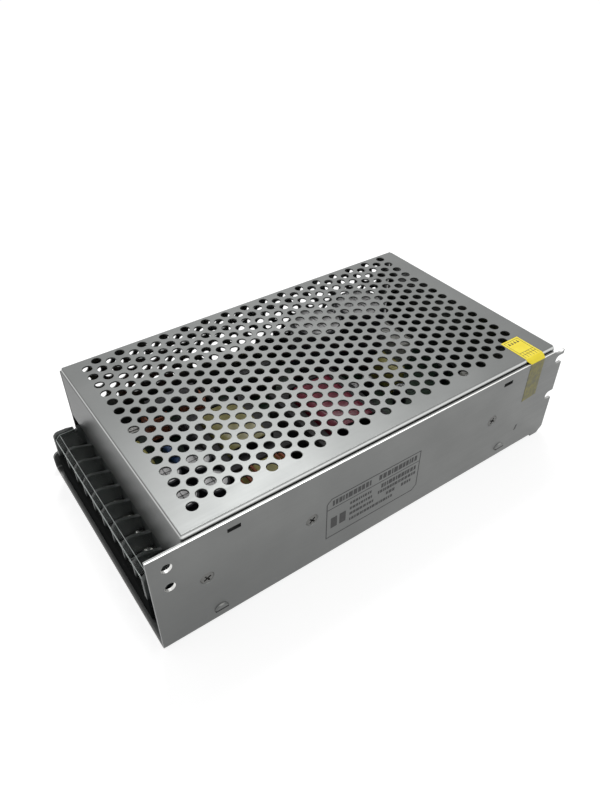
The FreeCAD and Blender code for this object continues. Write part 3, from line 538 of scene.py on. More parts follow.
# The cover: painted shade on its end flange, painted highlights along its folds
cover_metal = sheet_metal("cover_metal", (0.155, 0.160, 0.157), (0.178, 0.183, 0.180), 0.38, [
    (SHADED_SHEET, ("X", -86.30, -86.45), ("Z", 49.4, 48.8)),
    (FAR_FLANGE_SHADE, ("X", -86.00, -86.45), ("Y", 0.0, 50.0)),
    (FOLD_HIGHLIGHT, ("Z", 48.7, 49.5), ("Y", -52.6, -53.0)),
    (FOLD_HIGHLIGHT, ("Z", 49.5, 49.8), ("X", -85.8, -86.0)),
])
bright_metal = plain_metal("bright_metal", (0.62, 0.62, 0.60), 0.20)
rim_metal = plain_metal("rim_metal", (0.85, 0.85, 0.83), 0.45)
screw_metal = plain_metal("screw_metal", (0.24, 0.24, 0.24), 0.35)
wall_screw_metal = plain_metal("wall_screw_metal", (0.16, 0.16, 0.155), 0.42)
aluminium = plain_metal("aluminium", (0.50, 0.50, 0.51), 0.40)
can_top = plain_metal("can_top", (0.30, 0.30, 0.30), 0.45)
black_plastic = plastic("black_plastic", (0.012, 0.013, 0.013), 0.42, 0.02, 0.9, 0.05)
# The terminal block's barriers are painted paler than its foot: painted light
block_black = block_plastic("block_black", (0.016, 0.017, 0.017), (0.040, 0.045, 0.043))
device_epoxy = plastic("device_epoxy", (0.020, 0.020, 0.022), 0.55, 0.2)
ferrite = plastic("ferrite", (0.030, 0.030, 0.032), 0.60, 0.3)
board_green = plastic("board_green", (0.014, 0.040, 0.020), 0.40, 0.1)
tape_red = plastic("tape_red", (0.24, 0.010, 0.040), 0.30, 0.15)
tape_yellow = plastic("tape_yellow", (0.40, 0.36, 0.12), 0.32, 0.15)
copper = plastic("copper", (0.40, 0.11, 0.045), 0.26, 0.1)
core_paint = plastic("core_paint", (0.46, 0.42, 0.14), 0.45)
sleeve = plastic("sleeve", (0.020, 0.022, 0.028), 0.42, 0.05)
film_box = plastic("film_box", (0.46, 0.42, 0.12), 0.40)
disc_blue = plastic("disc_blue", (0.05, 0.12, 0.30), 0.45)
ceramic = plastic("ceramic", (0.74, 0.74, 0.70), 0.65, 0.3, 0.9)
pad_grey = plastic("pad_grey", (0.35, 0.37, 0.38), 0.7)
film_grey = plastic("film_grey", (0.45, 0.46, 0.45), 0.4)
trimmer_blue = plastic("trimmer_blue", (0.05, 0.14, 0.40), 0.4)
rotor_white = plastic("rotor_white", (0.75, 0.75, 0.70), 0.4)
lamp_green = plastic("lamp_green", (0.05, 0.35, 0.07), 0.15)
# Black of the print, also used for the slot's painted shadow
print_and_shadow_black = plastic("print_and_shadow_black", (0.018, 0.018, 0.018), 0.5, 0.05)
seal_print = plastic("seal_print", (0.09, 0.065, 0.008), 0.5, 0.05)
seal_yellow = seal_film("seal_yellow")
# Terminal metal: its mottle of darker and brighter patches is painted glint
terminal_metal = glinting_metal("terminal_metal", (0.85, 0.86, 0.84), 0.22)
clear = clear_plastic("clear", (0.04, 0.05, 0.05), 0.01, 0.06)
# Pale, less clear plastic of the lid's edge beads: a painted highlight
clear_edge_highlight = clear_plastic("clear_edge_highlight", (0.55, 0.60, 0.58), 0.55, 0.80)
fuse_clear = clear_plastic("fuse_clear", (0.70, 0.74, 0.74), 0.15, 0.80)


# Camera
CAMERA_PLACE = (-132.1, -183.0, 214.9)
CAMERA_TARGET = (0.6, 5.2, 25.0)
CAMERA_LENS = 29.95
CAMERA_SENSOR = 36


def add_camera():
    """The photograph's viewing angle; the sensor's size is that of the picture's height."""
    data = bpy.data.cameras.new("camera")
    data.lens = CAMERA_LENS
    data.sensor_fit = "VERTICAL"
    data.sensor_height = CAMERA_SENSOR
    data.clip_start = 0.01
    camera = new_object("camera", data)
    point_at(camera, Vector(CAMERA_PLACE) * MM, Vector(CAMERA_TARGET) * MM)
    bpy.context.scene.camera = camera


def point_at(thing, place, target):
    """Puts a camera or a lamp at its place and turns it to the target."""
    thing.location = place
    thing.rotation_euler = (target - place).to_track_quat("-Z", "Y").to_euler()


# Cover
def far_screw_places():
    """The two screws of the far wall, along X."""
    return (COVER_X0 + FAR_SCREW_INSET, COVER_X1 - FAR_SCREW_INSET)


def lattice(rows, first, step, offset):
    """Staggered hole centres: every other column in each row."""
    return [(FIRST_X + PITCH_X * m, first + step * n, HOLE_RADIUS)
            for n in range(rows) for m in range(COLUMNS) if (m + n + offset) % 2 == 0]


def cover():
    """Folded cover with round perforations in its top and its far wall."""
    t = COVER_SHEET
    r = COVER_BEND
    x0 = COVER_X0 + r
    x1 = COVER_X1 - r
    y0 = COVER_NEAR + r
    y1 = CASE_Y - r
    lap = SHEET_LAP
    flat = [(x0 - lap, y0 - lap), (x1 + lap, y0 - lap), (x1 + lap, y1 + lap), (x0 - lap, y1 + lap)]
    top = perforated("top", flat, lattice(ROWS, FIRST_Y, PITCH_Y, 0), t, lambda u, v, w: (u, v, TOP - t / 2 + w))
    low = TOP - r
    notch = low - CORNER_GAP
    outline = [(COVER_X0, COVER_FOOT), (COVER_X1, COVER_FOOT), (COVER_X1, notch), (x1, notch), (x1, low + lap),
               (x0, low + lap), (x0, notch), (COVER_X0, notch)]
    holes = lattice(FAR_ROWS, FAR_FIRST_Z, -PITCH_Y, ROWS)
    holes += [(x, FAR_SCREW_HEIGHT, FAR_SCREW_RADIUS) for x in far_screw_places()]
    wall = perforated("wall", outline, holes, t, lambda u, v, w: (u, CASE_Y - t / 2 + w, v))

    def fold(name, outer, inner, place, a, b):
        """A flange and its fold; outer runs from the flat over the fold and down, inner comes back."""
        section = rounded(outer, [0, r, 0]) + rounded(inner, [0, INNER_BEND, 0])
        return run_section(name, section, place, a, b)

    near_end = TOP - NEAR_FLANGE
    near = fold("near", [(y0, TOP), (COVER_NEAR, TOP), (COVER_NEAR, near_end)],
                [(COVER_NEAR + t, near_end), (COVER_NEAR + t, TOP - t), (y0, TOP - t)], along_x, x0, x1)
    far = fold("far", [(y1, TOP), (CASE_Y, TOP), (CASE_Y, low)],
               [(CASE_Y - t, low), (CASE_Y - t, TOP - t), (y1, TOP - t)], along_x, x0, x1)
    end_y1 = y1 - CORNER_GAP
    left_end = TOP - END_FLANGE
    left = fold("left", [(x0, TOP), (COVER_X0, TOP), (COVER_X0, left_end)],
                [(COVER_X0 + t, left_end), (COVER_X0 + t, TOP - t), (x0, TOP - t)], along_y, y0, end_y1)
    right = fold("right", [(x1, TOP), (COVER_X1, TOP), (COVER_X1, COVER_FOOT)],
                 [(COVER_X1 - t, COVER_FOOT), (COVER_X1 - t, TOP - t), (x1, TOP - t)],
                 along_y, y0 + CORNER_GAP, end_y1)
    corner = closed_corner(x0, y0, r, near_end)
    piece = join("perforated_cover", [top, wall, near, far, left, right, corner])
    finish_piece(piece, "supply", cover_metal, "mesh_cover", SHARP_ANGLE)


def closed_corner(x, y, radius, low):
    """The near left corner, drawn round where the two flanges meet: a closed shell of the sheet's thickness."""
    steps = CORNER_STEPS
    count = steps + 1
    shell = count * count + 1
    points = []
    faces = []
    for reach in (radius, radius - COVER_SHEET):
        start = len(points)
        profile = [(reach, low)]
        for k in range(steps):
            rise = math.pi / 2 * k / steps
            profile.append((reach * math.cos(rise), TOP - radius + reach * math.sin(rise)))
        for k in range(count):
            turn = math.pi + math.pi / 2 * k / steps
            points += [(x + u * math.cos(turn), y + u * math.sin(turn), z) for u, z in profile]
        points.append((x, y, TOP - radius + reach))
        for k in range(steps):
            a = start + k * count
            for i in range(count - 1):
                faces.append((a + i, a + count + i, a + count + i + 1, a + i + 1))
            faces.append((a + count - 1, a + 2 * count - 1, start + shell - 1))
    for k in range(steps):
        a = k * count
        faces.append((a, a + count, shell + a + count, shell + a))
    for a in (0, steps * count):
        for i in range(count - 1):
            faces.append((a + i, a + i + 1, shell + a + i + 1, shell + a + i))
        faces.append((a + count - 1, shell - 1, 2 * shell - 1, shell + a + count - 1))
    return make_mesh("corner", points, faces)


# Terminal end
WAYS = 9
WAY_PITCH = 9.5
FIRST_WAY = -35.75
TERMINAL_X = -89.5
CLAMP_TOP = 14.8
TERMINAL_HEAD_RADIUS = 3.0
TERMINAL_HEAD_HEIGHT = 2.2
TERMINAL_SHANK_RADIUS = 1.5
TERMINAL_SHANK_FOOT = 9.6
LID_BACK = -88.8
LID_FRONT = -97.7
LID_TOP = 25.2
LID_SHEET = 1.0
LID_BEVEL = 2.0
LID_LIP = 22.2
LID_Y0 = -40.2
LID_Y1 = 44.7
LID_AXIS_Z = 24.0
LID_BARREL_RADIUS = 1.2
LID_PIN_RADIUS = 0.8
LID_PIN_Y0 = -42.5
LID_PIN_Y1 = 47.0
LID_ROUND_OUTSIDE = 0.3
LID_ROUND_INSIDE = 0.2
LID_BEAD = 0.13

# Recesses of screws: reach and half width as parts of the head's radius, depth in millimetres
TERMINAL_RECESS = (0.672, 0.13, 0.9)
WALL_RECESS = (0.576, 0.13, 0.8)
HEAD_SIDES = 28


def facing_near(x, y, z):
    """A place function for pieces turned about an axis along Y, whose height runs towards the near side."""
    return lambda u, v, w: (x + u, y - w, z + v)


def facing_far(x, y, z):
    """The same, with the height towards the far side."""
    return lambda u, v, w: (x + u, y + w, z + v)


def screw_head(radius, height, place, turn, recess):
    """A low pan head from height 0 up, with a cross recess."""
    reach, half, depth = recess
    dome = [(radius, 0), (radius, 0.45 * height), (0.96 * radius, 0.68 * height), (0.85 * radius, 0.88 * height),
            (0.66 * radius, height)]
    head = lathe("head", dome, place, HEAD_SIDES)
    outline = [(u * math.cos(turn) - v * math.sin(turn), u * math.sin(turn) + v * math.cos(turn))
               for u, v in cross(radius * reach, radius * half)]
    tool = run_section("tool", outline, place, height - depth, height + 1)
    return carve("head", head, tool)


def terminal_screws():
    """Cross-recessed terminal screws, each turned as far as it happened to be driven."""
    chance = random.Random(4)
    pieces = []
    for i in range(WAYS):
        place = at(TERMINAL_X, FIRST_WAY + WAY_PITCH * i, CLAMP_TOP)
        turn = chance.uniform(0, math.pi)
        pieces.append(screw_head(TERMINAL_HEAD_RADIUS, TERMINAL_HEAD_HEIGHT, place, turn, TERMINAL_RECESS))
        shank = [(TERMINAL_SHANK_RADIUS, TERMINAL_SHANK_FOOT - CLAMP_TOP), (TERMINAL_SHANK_RADIUS, 0.1)]
        pieces.append(lathe("shank", shank, place, 12))
    piece = join("terminal_screw_set", pieces)
    finish_piece(piece, "supply", terminal_metal, "terminal_screws", SHARP_ANGLE)


def lid():
    """Clear lid with a bevelled front and a lip, its barrel and pins, and pale beads along its edges with a painted
    highlight.
    """
    low = LID_TOP - LID_BEVEL
    drop = LID_SHEET * math.tan(math.pi / 8)
    outer = [(LID_BACK, LID_TOP), (LID_FRONT + LID_BEVEL, LID_TOP), (LID_FRONT, low), (LID_FRONT, LID_LIP)]
    inner = [(LID_FRONT + LID_SHEET, LID_LIP), (LID_FRONT + LID_SHEET, low - drop),
             (LID_FRONT + LID_BEVEL + drop, LID_TOP - LID_SHEET), (LID_BACK, LID_TOP - LID_SHEET)]
    radii = [0] + [LID_ROUND_OUTSIDE] * 2 + [LID_ROUND_INSIDE] * 4 + [0]
    section = rounded(outer + inner, radii, 3)
    plate = run_section("plate", section, along_y, LID_Y0, LID_Y1)

    def about_axis(u, v, w):
        return (LID_BACK + u, w, LID_AXIS_Z + v)

    rod = [(LID_PIN_RADIUS, LID_PIN_Y0), (LID_PIN_RADIUS, LID_Y0), (LID_BARREL_RADIUS, LID_Y0),
           (LID_BARREL_RADIUS, LID_Y1), (LID_PIN_RADIUS, LID_Y1), (LID_PIN_RADIUS, LID_PIN_Y1)]
    piece = join("lid_plate", [plate, lathe("rod", rod, about_axis, 24)])
    finish_piece(piece, "lid", clear, "terminal_cover", SHARP_ANGLE)
    bead = LID_BEAD
    lines = [(LID_FRONT + LID_BEVEL, LID_TOP - bead), (LID_FRONT + bead, low), (LID_FRONT + bead, LID_LIP + bead)]
    beads = [wire("bead", [(x, LID_Y0 + bead, z), (x, LID_Y1 - bead, z)], bead) for x, z in lines]
    for y in (LID_Y0 + bead, LID_Y1 - bead):
        beads.append(wire("bead", [(x, y, z) for x, z in lines[::-1]] + [(LID_BACK, y, LID_TOP - bead)], bead))
    finish_piece(join("lid_edges", beads), "lid", clear_edge_highlight, None, WIRE_ANGLE)


# Near wall
WALL_SCREWS = (-79.9, -36.3, 59.2)
WALL_SCREW_TURNS = (0.5, 0.78, 1.1)
WALL_SCREW_Z = 26.0
WALL_SCREW_RADIUS = 2.7
WALL_SCREW_SHANK = 1.5
WALL_SCREW_END = -48.0
WALL_SCREW_HEAD = 0.9
WALL_SCREW_SET = 0.95
SIDE_HOLES = ((-93.0, 41.6), (-93.0, 31.8))
SIDE_HOLE_RADIUS = 2.0
RIM_ROOM = 0.01
RIM_DEPTH = 0.03
RIM_INSET = 0.02
# The slot's painted shadow: its place and outline
DARK_SLOT = (77.8, 13.0)
DARK_SLOT_OUTLINE = ((-0.9, -1.5), (0.2, -1.2), (0.9, 1.5), (-0.2, 1.2))


def wall_screws():
    """Flush screws with a cross recess, held in the wall's countersinks."""
    pieces = []
    for x, turn in zip(WALL_SCREWS, WALL_SCREW_TURNS):
        place = facing_near(x, -CASE_Y + WALL_SCREW_SET, WALL_SCREW_Z)
        pieces.append(screw_head(WALL_SCREW_RADIUS, WALL_SCREW_HEAD, place, turn, WALL_RECESS))
        shank = [(WALL_SCREW_SHANK, 0.1), (WALL_SCREW_SHANK, WALL_SCREW_END + CASE_Y)]
        pieces.append(lathe("shank", shank, facing_far(x, -CASE_Y + WALL_SCREW_HEAD, WALL_SCREW_Z), 16))
    piece = join("wall_screw_set", pieces)
    finish_piece(piece, "supply", wall_screw_metal, "wall_screws", SHARP_ANGLE)


def side_hole_rims():
    """Bright cut edges inside the two mounting holes of the near wall."""
    outer = SIDE_HOLE_RADIUS - RIM_ROOM
    inner = outer - RIM_DEPTH
    end = CHASSIS_SHEET - RIM_INSET
    ring = [(outer, RIM_INSET), (outer, end), (inner, end), (inner, RIM_INSET)]
    rims = [turned_ring("rim", ring, facing_far(x, -CASE_Y, z), 32) for x, z in SIDE_HOLES]
    finish_piece(join("side_hole_rims", rims), "supply", rim_metal, None, SHARP_ANGLE)


def turned_ring(name, section, place, sides):
    """A closed ring turned from (radius, height) points."""
    count = len(section)
    points = []
    for k in range(sides):
        turn = 2 * math.pi * k / sides
        points += [place(radius * math.cos(turn), radius * math.sin(turn), height) for radius, height in section]
    faces = []
    for k in range(sides):
        a = k * count
        b = (k + 1) % sides * count
        for i in range(count):
            j = (i + 1) % count
            faces.append((a + i, b + i, b + j, a + j))
    return make_mesh(name, points, faces)


def wall_slot():
    """The small slanted slot by the sticker, drawn as a flat dark mark: a painted shadow."""
    x, z = DARK_SLOT
    outline = [(x + u, z + v) for u, v in DARK_SLOT_OUTLINE]
    finish_piece(wall_mark("wall_slot", outline), "supply", print_and_shadow_black)


# Seal
SEAL_X0 = 76.1
SEAL_X1 = 86.4
SEAL_FAR = -38.7
SEAL_FILM = 0.07
SEAL_LOW = 28.4
SEAL_SLANT = 0.10
SEAL_TAPER = 0.84
SEAL_SHIFT = 0.4
SEAL_PRINT_TOP = TOP + SEAL_FILM
SEAL_INK = 0.02
SEAL_LINE = 0.2
SEAL_MARGIN = 0.9
SEAL_FRAME_NEAR = COVER_NEAR + 1.4
SEAL_RULES = (3.6, 2.0)
SEAL_CELLS = 5
SEAL_FIRST_DIGIT = 1.1
SEAL_DIGIT_PITCH = 1.7
SEAL_DIGITS = 4
SEAL_DIGIT_BARS = ((0, 1.1, -2.4, -1.8), (0.3, 0.8, -1.8, -0.9))


def seal():
    """Sticker laid over the cover's edge and down the wall, its lower end cut askew."""
    middle = (SEAL_X0 + SEAL_X1) / 2
    bend = COVER_NEAR + 0.9
    face = -CASE_Y - SEAL_FILM
    path = [(SEAL_FAR, TOP), (bend, TOP), (COVER_NEAR - 0.2, TOP - 0.55), (-CASE_Y, WALL_TOP), (-CASE_Y, SEAL_LOW)]
    raised = [(SEAL_FAR, SEAL_PRINT_TOP), (bend, SEAL_PRINT_TOP), (COVER_NEAR - 0.25, TOP - 0.5),
              (face, WALL_TOP + 0.03), (face, SEAL_LOW)]

    def laid(u, v, w):
        if v > WALL_TOP + 0.1:
            return (w, u, v)
        x = middle + SEAL_SHIFT + (w - middle) * SEAL_TAPER
        return (x, u, v + SEAL_SLANT * (x - middle) if v < SEAL_LOW + 1 else v)

    piece = run_section("seal", raised + path[::-1], laid, SEAL_X0, SEAL_X1)
    finish_piece(piece, "supply", seal_yellow, "seal_sticker")


def seal_marks():
    """Generic print on the sticker: a frame, rules, a row of cells and stand-ins for digits."""
    x0 = SEAL_X0 + SEAL_MARGIN
    x1 = SEAL_X1 - SEAL_MARGIN
    near = SEAL_FRAME_NEAR
    far = SEAL_FAR - SEAL_MARGIN
    marks = []

    def mark(name, left, right, low, high):
        marks.append(box(name, (left, low, SEAL_PRINT_TOP), (right, high, SEAL_PRINT_TOP + SEAL_INK)))

    for x in (x0, x1 - SEAL_LINE):
        mark("line", x, x + SEAL_LINE, near, far)
    for y in (far - SEAL_LINE, *[near + rule for rule in SEAL_RULES]):
        mark("line", x0, x1, y, y + SEAL_LINE)
    for i in range(SEAL_DIGITS):
        x = x0 + SEAL_FIRST_DIGIT + SEAL_DIGIT_PITCH * i
        for left, right, low, high in SEAL_DIGIT_BARS:
            mark("digit", x + left, x + right, far + low, far + high)
    for i in range(1, SEAL_CELLS):
        x = x0 + (x1 - x0) * i / SEAL_CELLS
        mark("line", x, x + SEAL_LINE, near, near + SEAL_RULES[0])
    finish_piece(join("seal_print", marks), "supply", seal_print)


# Inside the case; each set of cans has its radius, its height and its places
CAN_SETS = {
    "bulk_capacitors": (12.5, 34.0, ((29.9, 33.05), (56.9, 34.05))),
    "output_capacitors": (6.3, 26.0, ((-72.1, -9.45), (-59.1, -9.45), (-72.1, -23.45), (-59.1, -23.45))),
    "small_capacitors": (3.15, 11.0, ((31.9, 6.05), (40.9, 6.05), (49.9, -7.95), (79.9, -5.95))),
}
CAN_LIP = 0.5
CAN_LIP_GROWTH = 0.05
CAN_SIDES = 36
VENT_HALF = 0.16


def cans():
    """Electrolytic cans: shrunk sleeves with a rolled lip, and bright tops with a scored vent."""
    tops = []
    for node, (radius, top, places) in CAN_SETS.items():
        lip = CAN_LIP + radius * CAN_LIP_GROWTH
        seat = top - 0.4 * lip
        profile = [(radius, 0), (radius, top - lip), (radius - 0.3 * lip, top - 0.3 * lip), (radius - lip, top),
                   (radius - 1.2 * lip, seat)]
        sleeves = [lathe("sleeve", profile, at(x, y, BOARD_TOP), CAN_SIDES) for x, y in places]
        finish_piece(join(node + "_sleeves", sleeves), "supply", sleeve, node, MOULDED_ANGLE)
        reach = radius - 1.25 * lip
        for x, y in places:
            disc = lathe("disc", [(reach, seat - 0.1), (reach, seat + 0.15)], at(x, y, BOARD_TOP), CAN_SIDES)
            vent = run_section("vent", cross(reach * 0.62, VENT_HALF), at(x, y, BOARD_TOP), seat, seat + 1)
            tops.append(carve("disc", disc, vent))
    finish_piece(join("can_tops", tops), "supply", can_top, None, MOULDED_ANGLE)


CHOKE = (-38.1, -29.95, 21.7)
CHOKE_OUTER = 12.5
CHOKE_INNER = 6.5
CHOKE_WIDTH = 11.0
CHOKE_WIRE = 0.7
CHOKE_TURNS = 21
CHOKE_OPEN = 50
CHOKE_CORNER = 1.2


def output_choke_turns():
    """Turns of thick enamelled wire round the ring core, open at the top."""
    cx, cy, cz = CHOKE
    near = CHOKE_INNER - CHOKE_WIRE
    far = CHOKE_OUTER + CHOKE_WIRE
    side = CHOKE_WIDTH / 2 + CHOKE_WIRE
    loop = rounded([(near, -side), (far, -side), (far, side), (near, side)], [CHOKE_CORNER] * 4, 3)
    turns = []
    start = math.radians(90 + CHOKE_OPEN / 2)
    sweep = math.radians(360 - CHOKE_OPEN)
    for k in range(CHOKE_TURNS):
        turn = start + sweep * k / (CHOKE_TURNS - 1)
        path = [(cx + r * math.cos(turn), cy + w, cz + r * math.sin(turn)) for r, w in loop]
        turns.append(wire("turn", path + path[:2], CHOKE_WIRE))
    piece = join("output_choke_turns", turns)
    finish_piece(piece, "supply", copper, "output_choke_winding", WIRE_ANGLE)


MAINS_CHOKE = (-47.1, 36.05)
MAINS_LEG = 9.5
MAINS_COIL = (4.45, 4.95)
MAINS_WIRE = 0.65
MAINS_TURNS = 9
MAINS_FIRST = 13.6
MAINS_CORNER = 1.8


def mains_choke_turns():
    """Turns of the two coils on the mains choke's legs."""
    cx, cy = MAINS_CHOKE
    half_x, half_y = MAINS_COIL
    corners = [(-half_x, -half_y), (half_x, -half_y), (half_x, half_y), (-half_x, half_y)]
    loop = rounded(corners, [MAINS_CORNER] * 4, 3)
    turns = []
    for side in (-1, 1):
        for k in range(MAINS_TURNS):
            z = MAINS_FIRST + 2 * MAINS_WIRE * k
            path = [(cx + side * MAINS_LEG + u, cy + v, z) for u, v in loop]
            turns.append(wire("turn", path + path[:2], MAINS_WIRE))
    piece = join("mains_choke_turns", turns)
    finish_piece(piece, "supply", copper, "mains_choke_windings", WIRE_ANGLE)


# Nodes whose edges are rounded: radius and slot
SOFT_NODES = (
    ("terminal_block", 0.25, "black_plastic"),
    ("main_transformer_core", 0.5, "ferrite"),
    ("main_transformer_bobbin", 0.3, "black_plastic"),
    ("main_transformer_winding", 1.6, "tape_red"),
    ("drive_transformer_core", 0.5, "ferrite"),
    ("drive_transformer_bobbin", 0.3, "black_plastic"),
    ("drive_transformer_winding", 1.4, "tape_yellow"),
    ("output_choke_core", 0.8, "core_paint"),
    ("mains_choke_core", 0.5, "ferrite"),
    ("film_capacitors", 0.9, "film_yellow"),
    ("disc_capacitors", 0.8, "disc_blue"),
    ("inrush_limiter", 0.8, "limiter_dark"),
    ("bridge_rectifier", 0.4, "device_black"),
    ("controller_chip", 0.2, "device_black"),
    ("output_rectifiers", 0.3, "device_black"),
    ("switching_transistors", 0.3, "device_black"),
    ("power_resistors", 0.4, "ceramic_white"),
    ("output_heat_bar", 0.3, "bar_aluminium"),
    ("input_heat_bar", 0.3, "bar_aluminium"),
    ("terminal_clamps", 0.15, "tinned_metal"),
    ("trimmer_body", 0.3, "trimmer_blue"),
)


def soft_pieces():
    """Moulded, wound and cast pieces with their rounded edges."""
    for name, radius, slot in SOFT_NODES:
        soften(name, radius, NODE_MATERIALS[name])


# Stage and light
WORLD_LIGHT = 0.55
FLOOR_WHITE = 0.76
FLOOR_REACH = 4000
FLOOR_LOW = -3
FLOOR_HIGH = -0.05
FLOOR_GRAIN = 60

# Lamps: what each one faces, its place from there, its size in metres and its power in watts
LAMPS = (
    ("corner_softbox", (-0.072, -0.070, 0.05), (0.287, 0.541, 0.790), (0.20, 0.20), 2.8),
    ("edge_softbox", (-0.026, -0.078, 0.05), (0.468, 0.482, 0.740), (0.24, 0.20), 0.85),
    ("front_fill", (0, 0, 0), (0.3, -1.2, 0.6), (1.0, 0.8), 1.5),
)


def area_light(name, target, reach, size, power):
    """A soft rectangular lamp that faces the target."""
    data = bpy.data.lights.new(name, "AREA")
    data.shape = "RECTANGLE"
    data.size, data.size_y = size
    data.energy = power
    point_at(new_object(name, data), Vector(target) + Vector(reach), Vector(target))


def seen_directly(nodes, links):
    """1 for rays of the camera, of gloss and through clear pieces."""
    path = nodes.new("ShaderNodeLightPath").outputs
    either = combined(nodes, links, "MAXIMUM", path["Is Camera Ray"], path["Is Glossy Ray"])
    return combined(nodes, links, "MAXIMUM", either, path["Is Transmission Ray"])


def background(nodes, strength):
    """White light of the world."""
    node = nodes.new("ShaderNodeBackground")
    node.inputs["Color"].default_value = (1, 1, 1, 1)
    node.inputs["Strength"].default_value = strength
    return node.outputs[0]


def either_shader(nodes, links, lit, shown):
    """One shader for light that falls on the case and another for what is seen directly."""
    mix = nodes.new("ShaderNodeMixShader")
    links.new(seen_directly(nodes, links), mix.inputs["Fac"])
    links.new(lit, mix.inputs[1])
    links.new(shown, mix.inputs[2])
    return mix.outputs[0]


def stage():
    """A plain pale floor under the case, and a world of the same white."""
    floor = box("floor", (-FLOOR_REACH, -FLOOR_REACH, FLOOR_LOW), (FLOOR_REACH, FLOOR_REACH, FLOOR_HIGH))
    floor.data.materials.append(floor_material())
    world = bpy.data.worlds.new("world")
    bpy.context.scene.world = world
    world.use_nodes = True
    nodes = world.node_tree.nodes
    links = world.node_tree.links
    nodes.clear()
    output = nodes.new("ShaderNodeOutputWorld")
    surface = either_shader(nodes, links, background(nodes, WORLD_LIGHT), background(nodes, 1.0))
    links.new(surface, output.inputs["Surface"])


def floor_material():
    """White paper floor that looks as white as the world and still takes the case's shadow."""
    material, nodes, links, shade = shader("floor_paper")
    grain = noise(nodes, links, FLOOR_GRAIN, 3)
    links.new(ramp(nodes, links, grain, (0.72, 0.72, 0.72), (0.75, 0.75, 0.75)), shade.inputs["Base Color"])
    shade.inputs["Roughness"].default_value = 0.95
    shadowed = nodes.new("ShaderNodeBsdfDiffuse")
    shadowed.inputs["Color"].default_value = (0.45, 0.45, 0.45, 1)
    white = nodes.new("ShaderNodeEmission")
    white.inputs["Strength"].default_value = FLOOR_WHITE
    both = nodes.new("ShaderNodeAddShader")
    links.new(shadowed.outputs[0], both.inputs[0])
    links.new(white.outputs[0], both.inputs[1])
    surface = either_shader(nodes, links, shade.outputs[0], both.outputs[0])
    links.new(surface, nodes["Material Output"].inputs["Surface"])
    return material


def lights():
    """Two softboxes behind the case, whose gleam fades along the near edge from the left, and a fill in front."""
    for lamp in LAMPS:
        area_light(*lamp)


# Carried-over nodes and their materials
NODE_MATERIALS = {
    "chassis": chassis_metal,
    "cover_screws": screw_metal,
    "circuit_board": board_green,
    "insulating_sheet": film_grey,
    "standoffs": screw_metal,
    "board_screws": bright_metal,
    "terminal_block": block_black,
    "terminal_contacts": terminal_metal,
    "terminal_clamps": terminal_metal,
    "terminal_screws": terminal_metal,
    "terminal_cover": clear,
    "output_heat_bar": aluminium,
    "input_heat_bar": aluminium,
    "insulating_pads": pad_grey,
    "output_rectifiers": device_epoxy,
    "switching_transistors": device_epoxy,
    "clamp_strips": screw_metal,
    "wall_screws": screw_metal,
    "main_transformer_core": ferrite,
    "main_transformer_bobbin": black_plastic,
    "main_transformer_winding": tape_red,
    "drive_transformer_core": ferrite,
    "drive_transformer_bobbin": black_plastic,
    "drive_transformer_winding": tape_yellow,
    "output_choke_core": core_paint,
    "output_choke_winding": copper,
    "mains_choke_core": ferrite,
    "mains_choke_windings": copper,
    "bulk_capacitors": sleeve,
    "output_capacitors": sleeve,
    "small_capacitors": sleeve,
    "film_capacitors": film_box,
    "disc_capacitors": disc_blue,
    "inrush_limiter": device_epoxy,
    "bridge_rectifier": device_epoxy,
    "controller_chip": device_epoxy,
    "power_resistors": ceramic,
    "fuse_glass": fuse_clear,
    "fuse_caps": bright_metal,
    "fuse_clips": bright_metal,
    "trimmer_body": trimmer_blue,
    "trimmer_screw": rotor_white,
    "indicator_lamp": lamp_green,
    "seal_sticker": seal_yellow,
}


def dress_nodes():
    """Gives each carried-over node its material."""
    for name, material in NODE_MATERIALS.items():
        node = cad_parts[name]
        if not node.data.materials:
            node.data.materials.append(material)
        for index in range(len(node.data.materials)):
            node.data.materials[index] = material


# Print on the near wall, and the flat marks that also draw the slot's painted shadow
WALL_MARK_FACE = -CASE_Y
WALL_MARK_THICK = 0.03
LABEL_LEFT = -29.8
LABEL_RIGHT = 17.0
LABEL_BOTTOM = 10.4
LABEL_TOP = 32.0
LABEL_CUT = 2.2
LABEL_CUT_SHRINK = 0.6
LABEL_LINE = 0.40
LABEL_HEADER = 26.4
LABEL_RULE = 0.15
LABEL_ROWS = (  # left end, right end, height, size of the bars, their mean length, seed
    (-27.0, -8.5, 29.1, 2.7, 1.3, 3),
    (-4.5, 15.0, 29.1, 2.7, 1.3, 5),
    (-18.5, -8.0, 23.8, 1.4, 1.1, 7),
    (-3.0, 15.5, 23.8, 2.2, 1.2, 9),
    (-18.5, -7.5, 20.8, 1.4, 1.0, 11),
    (-4.5, 15.5, 20.8, 1.6, 1.0, 13),
    (-18.5, -6.5, 17.8, 1.4, 1.0, 15),
    (0.0, 5.0, 17.8, 1.6, 1.0, 17),
    (8.0, 13.0, 17.8, 1.6, 1.0, 19),
    (-18.5, 4.0, 14.6, 1.5, 1.0, 21),
)
LABEL_BLOCKS = ((-27.6, -24.6, 15.4, 21.0), (-23.4, -20.4, 15.4, 21.0))
DASH_LEAST = 0.3
DASH_LENGTHS = (0.5, 1.5)
DASH_GAPS = (0.25, 0.45)


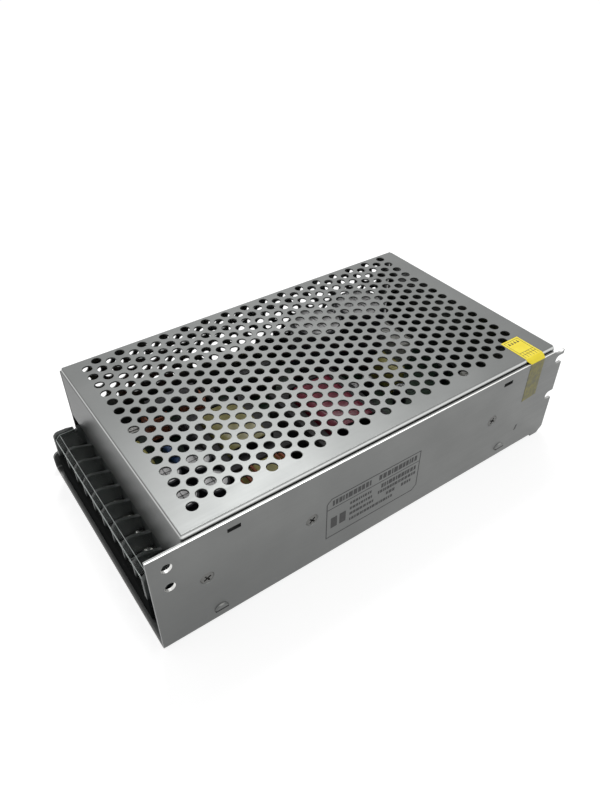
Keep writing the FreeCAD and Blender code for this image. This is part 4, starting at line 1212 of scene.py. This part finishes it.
def wall_mark(name, outline, hole=None):
    """A flat mark on the near wall from (x, z) points, for print and for the slot's painted shadow; with a hole it
    is a frame line.
    """
    front = WALL_MARK_FACE - WALL_MARK_THICK
    if hole is None:
        return run_section(name, outline, along_y, WALL_MARK_FACE, front)
    count = len(outline)
    points = [(x, front, z) for x, z in outline] + [(x, front, z) for x, z in hole]
    points += [(x, WALL_MARK_FACE, z) for x, z in outline] + [(x, WALL_MARK_FACE, z) for x, z in hole]
    faces = []
    for i in range(count):
        j = (i + 1) % count
        faces.append((i, j, count + j, count + i))
        faces.append((2 * count + i, 3 * count + i, 3 * count + j, 2 * count + j))
        faces.append((i, 2 * count + i, 2 * count + j, j))
        faces.append((count + i, count + j, 3 * count + j, 3 * count + i))
    return make_mesh(name, points, faces)


def bar(x0, x1, z0, z1):
    """A printed bar."""
    return wall_mark("bar", [(x0, z0), (x1, z0), (x1, z1), (x0, z1)])


def label_outline(inset):
    """The label's border with its two cut corners."""
    x0 = LABEL_LEFT + inset
    x1 = LABEL_RIGHT - inset
    z0 = LABEL_BOTTOM + inset
    z1 = LABEL_TOP - inset
    cut = LABEL_CUT - inset * LABEL_CUT_SHRINK
    return [(x0, z0), (x1 - cut, z0), (x1, z0 + cut), (x1, z1), (x0 + cut, z1), (x0, z1 - cut)]


def dashes(x0, x1, z, height, mean, seed):
    """A row of short bars that stands for a line of small print."""
    chance = random.Random(seed)
    marks = []
    x = x0
    while x < x1 - DASH_LEAST:
        width = min(mean * chance.uniform(*DASH_LENGTHS), x1 - x)
        marks.append(bar(x, x + width, z - height / 2, z + height / 2))
        x += width + mean * chance.uniform(*DASH_GAPS)
    return marks


def wall_label():
    """Generic printed panel: border, header rule, bars for words."""
    marks = [wall_mark("border", label_outline(0), label_outline(LABEL_LINE))]
    marks.append(bar(LABEL_LEFT + 0.5, LABEL_RIGHT - 0.3, LABEL_HEADER - LABEL_RULE, LABEL_HEADER + LABEL_RULE))
    for row in LABEL_ROWS:
        marks += dashes(*row)
    marks += [bar(*block) for block in LABEL_BLOCKS]
    piece = join("wall_label", marks)
    finish_piece(piece, "supply", print_and_shadow_black)


add_camera()
stage()
lights()
dress_nodes()
cover()
terminal_screws()
lid()
wall_screws()
side_hole_rims()
wall_slot()
wall_label()
seal()
seal_marks()
cans()
output_choke_turns()
mains_choke_turns()
soft_pieces()

bpy.context.scene.view_settings.view_transform = "Standard"
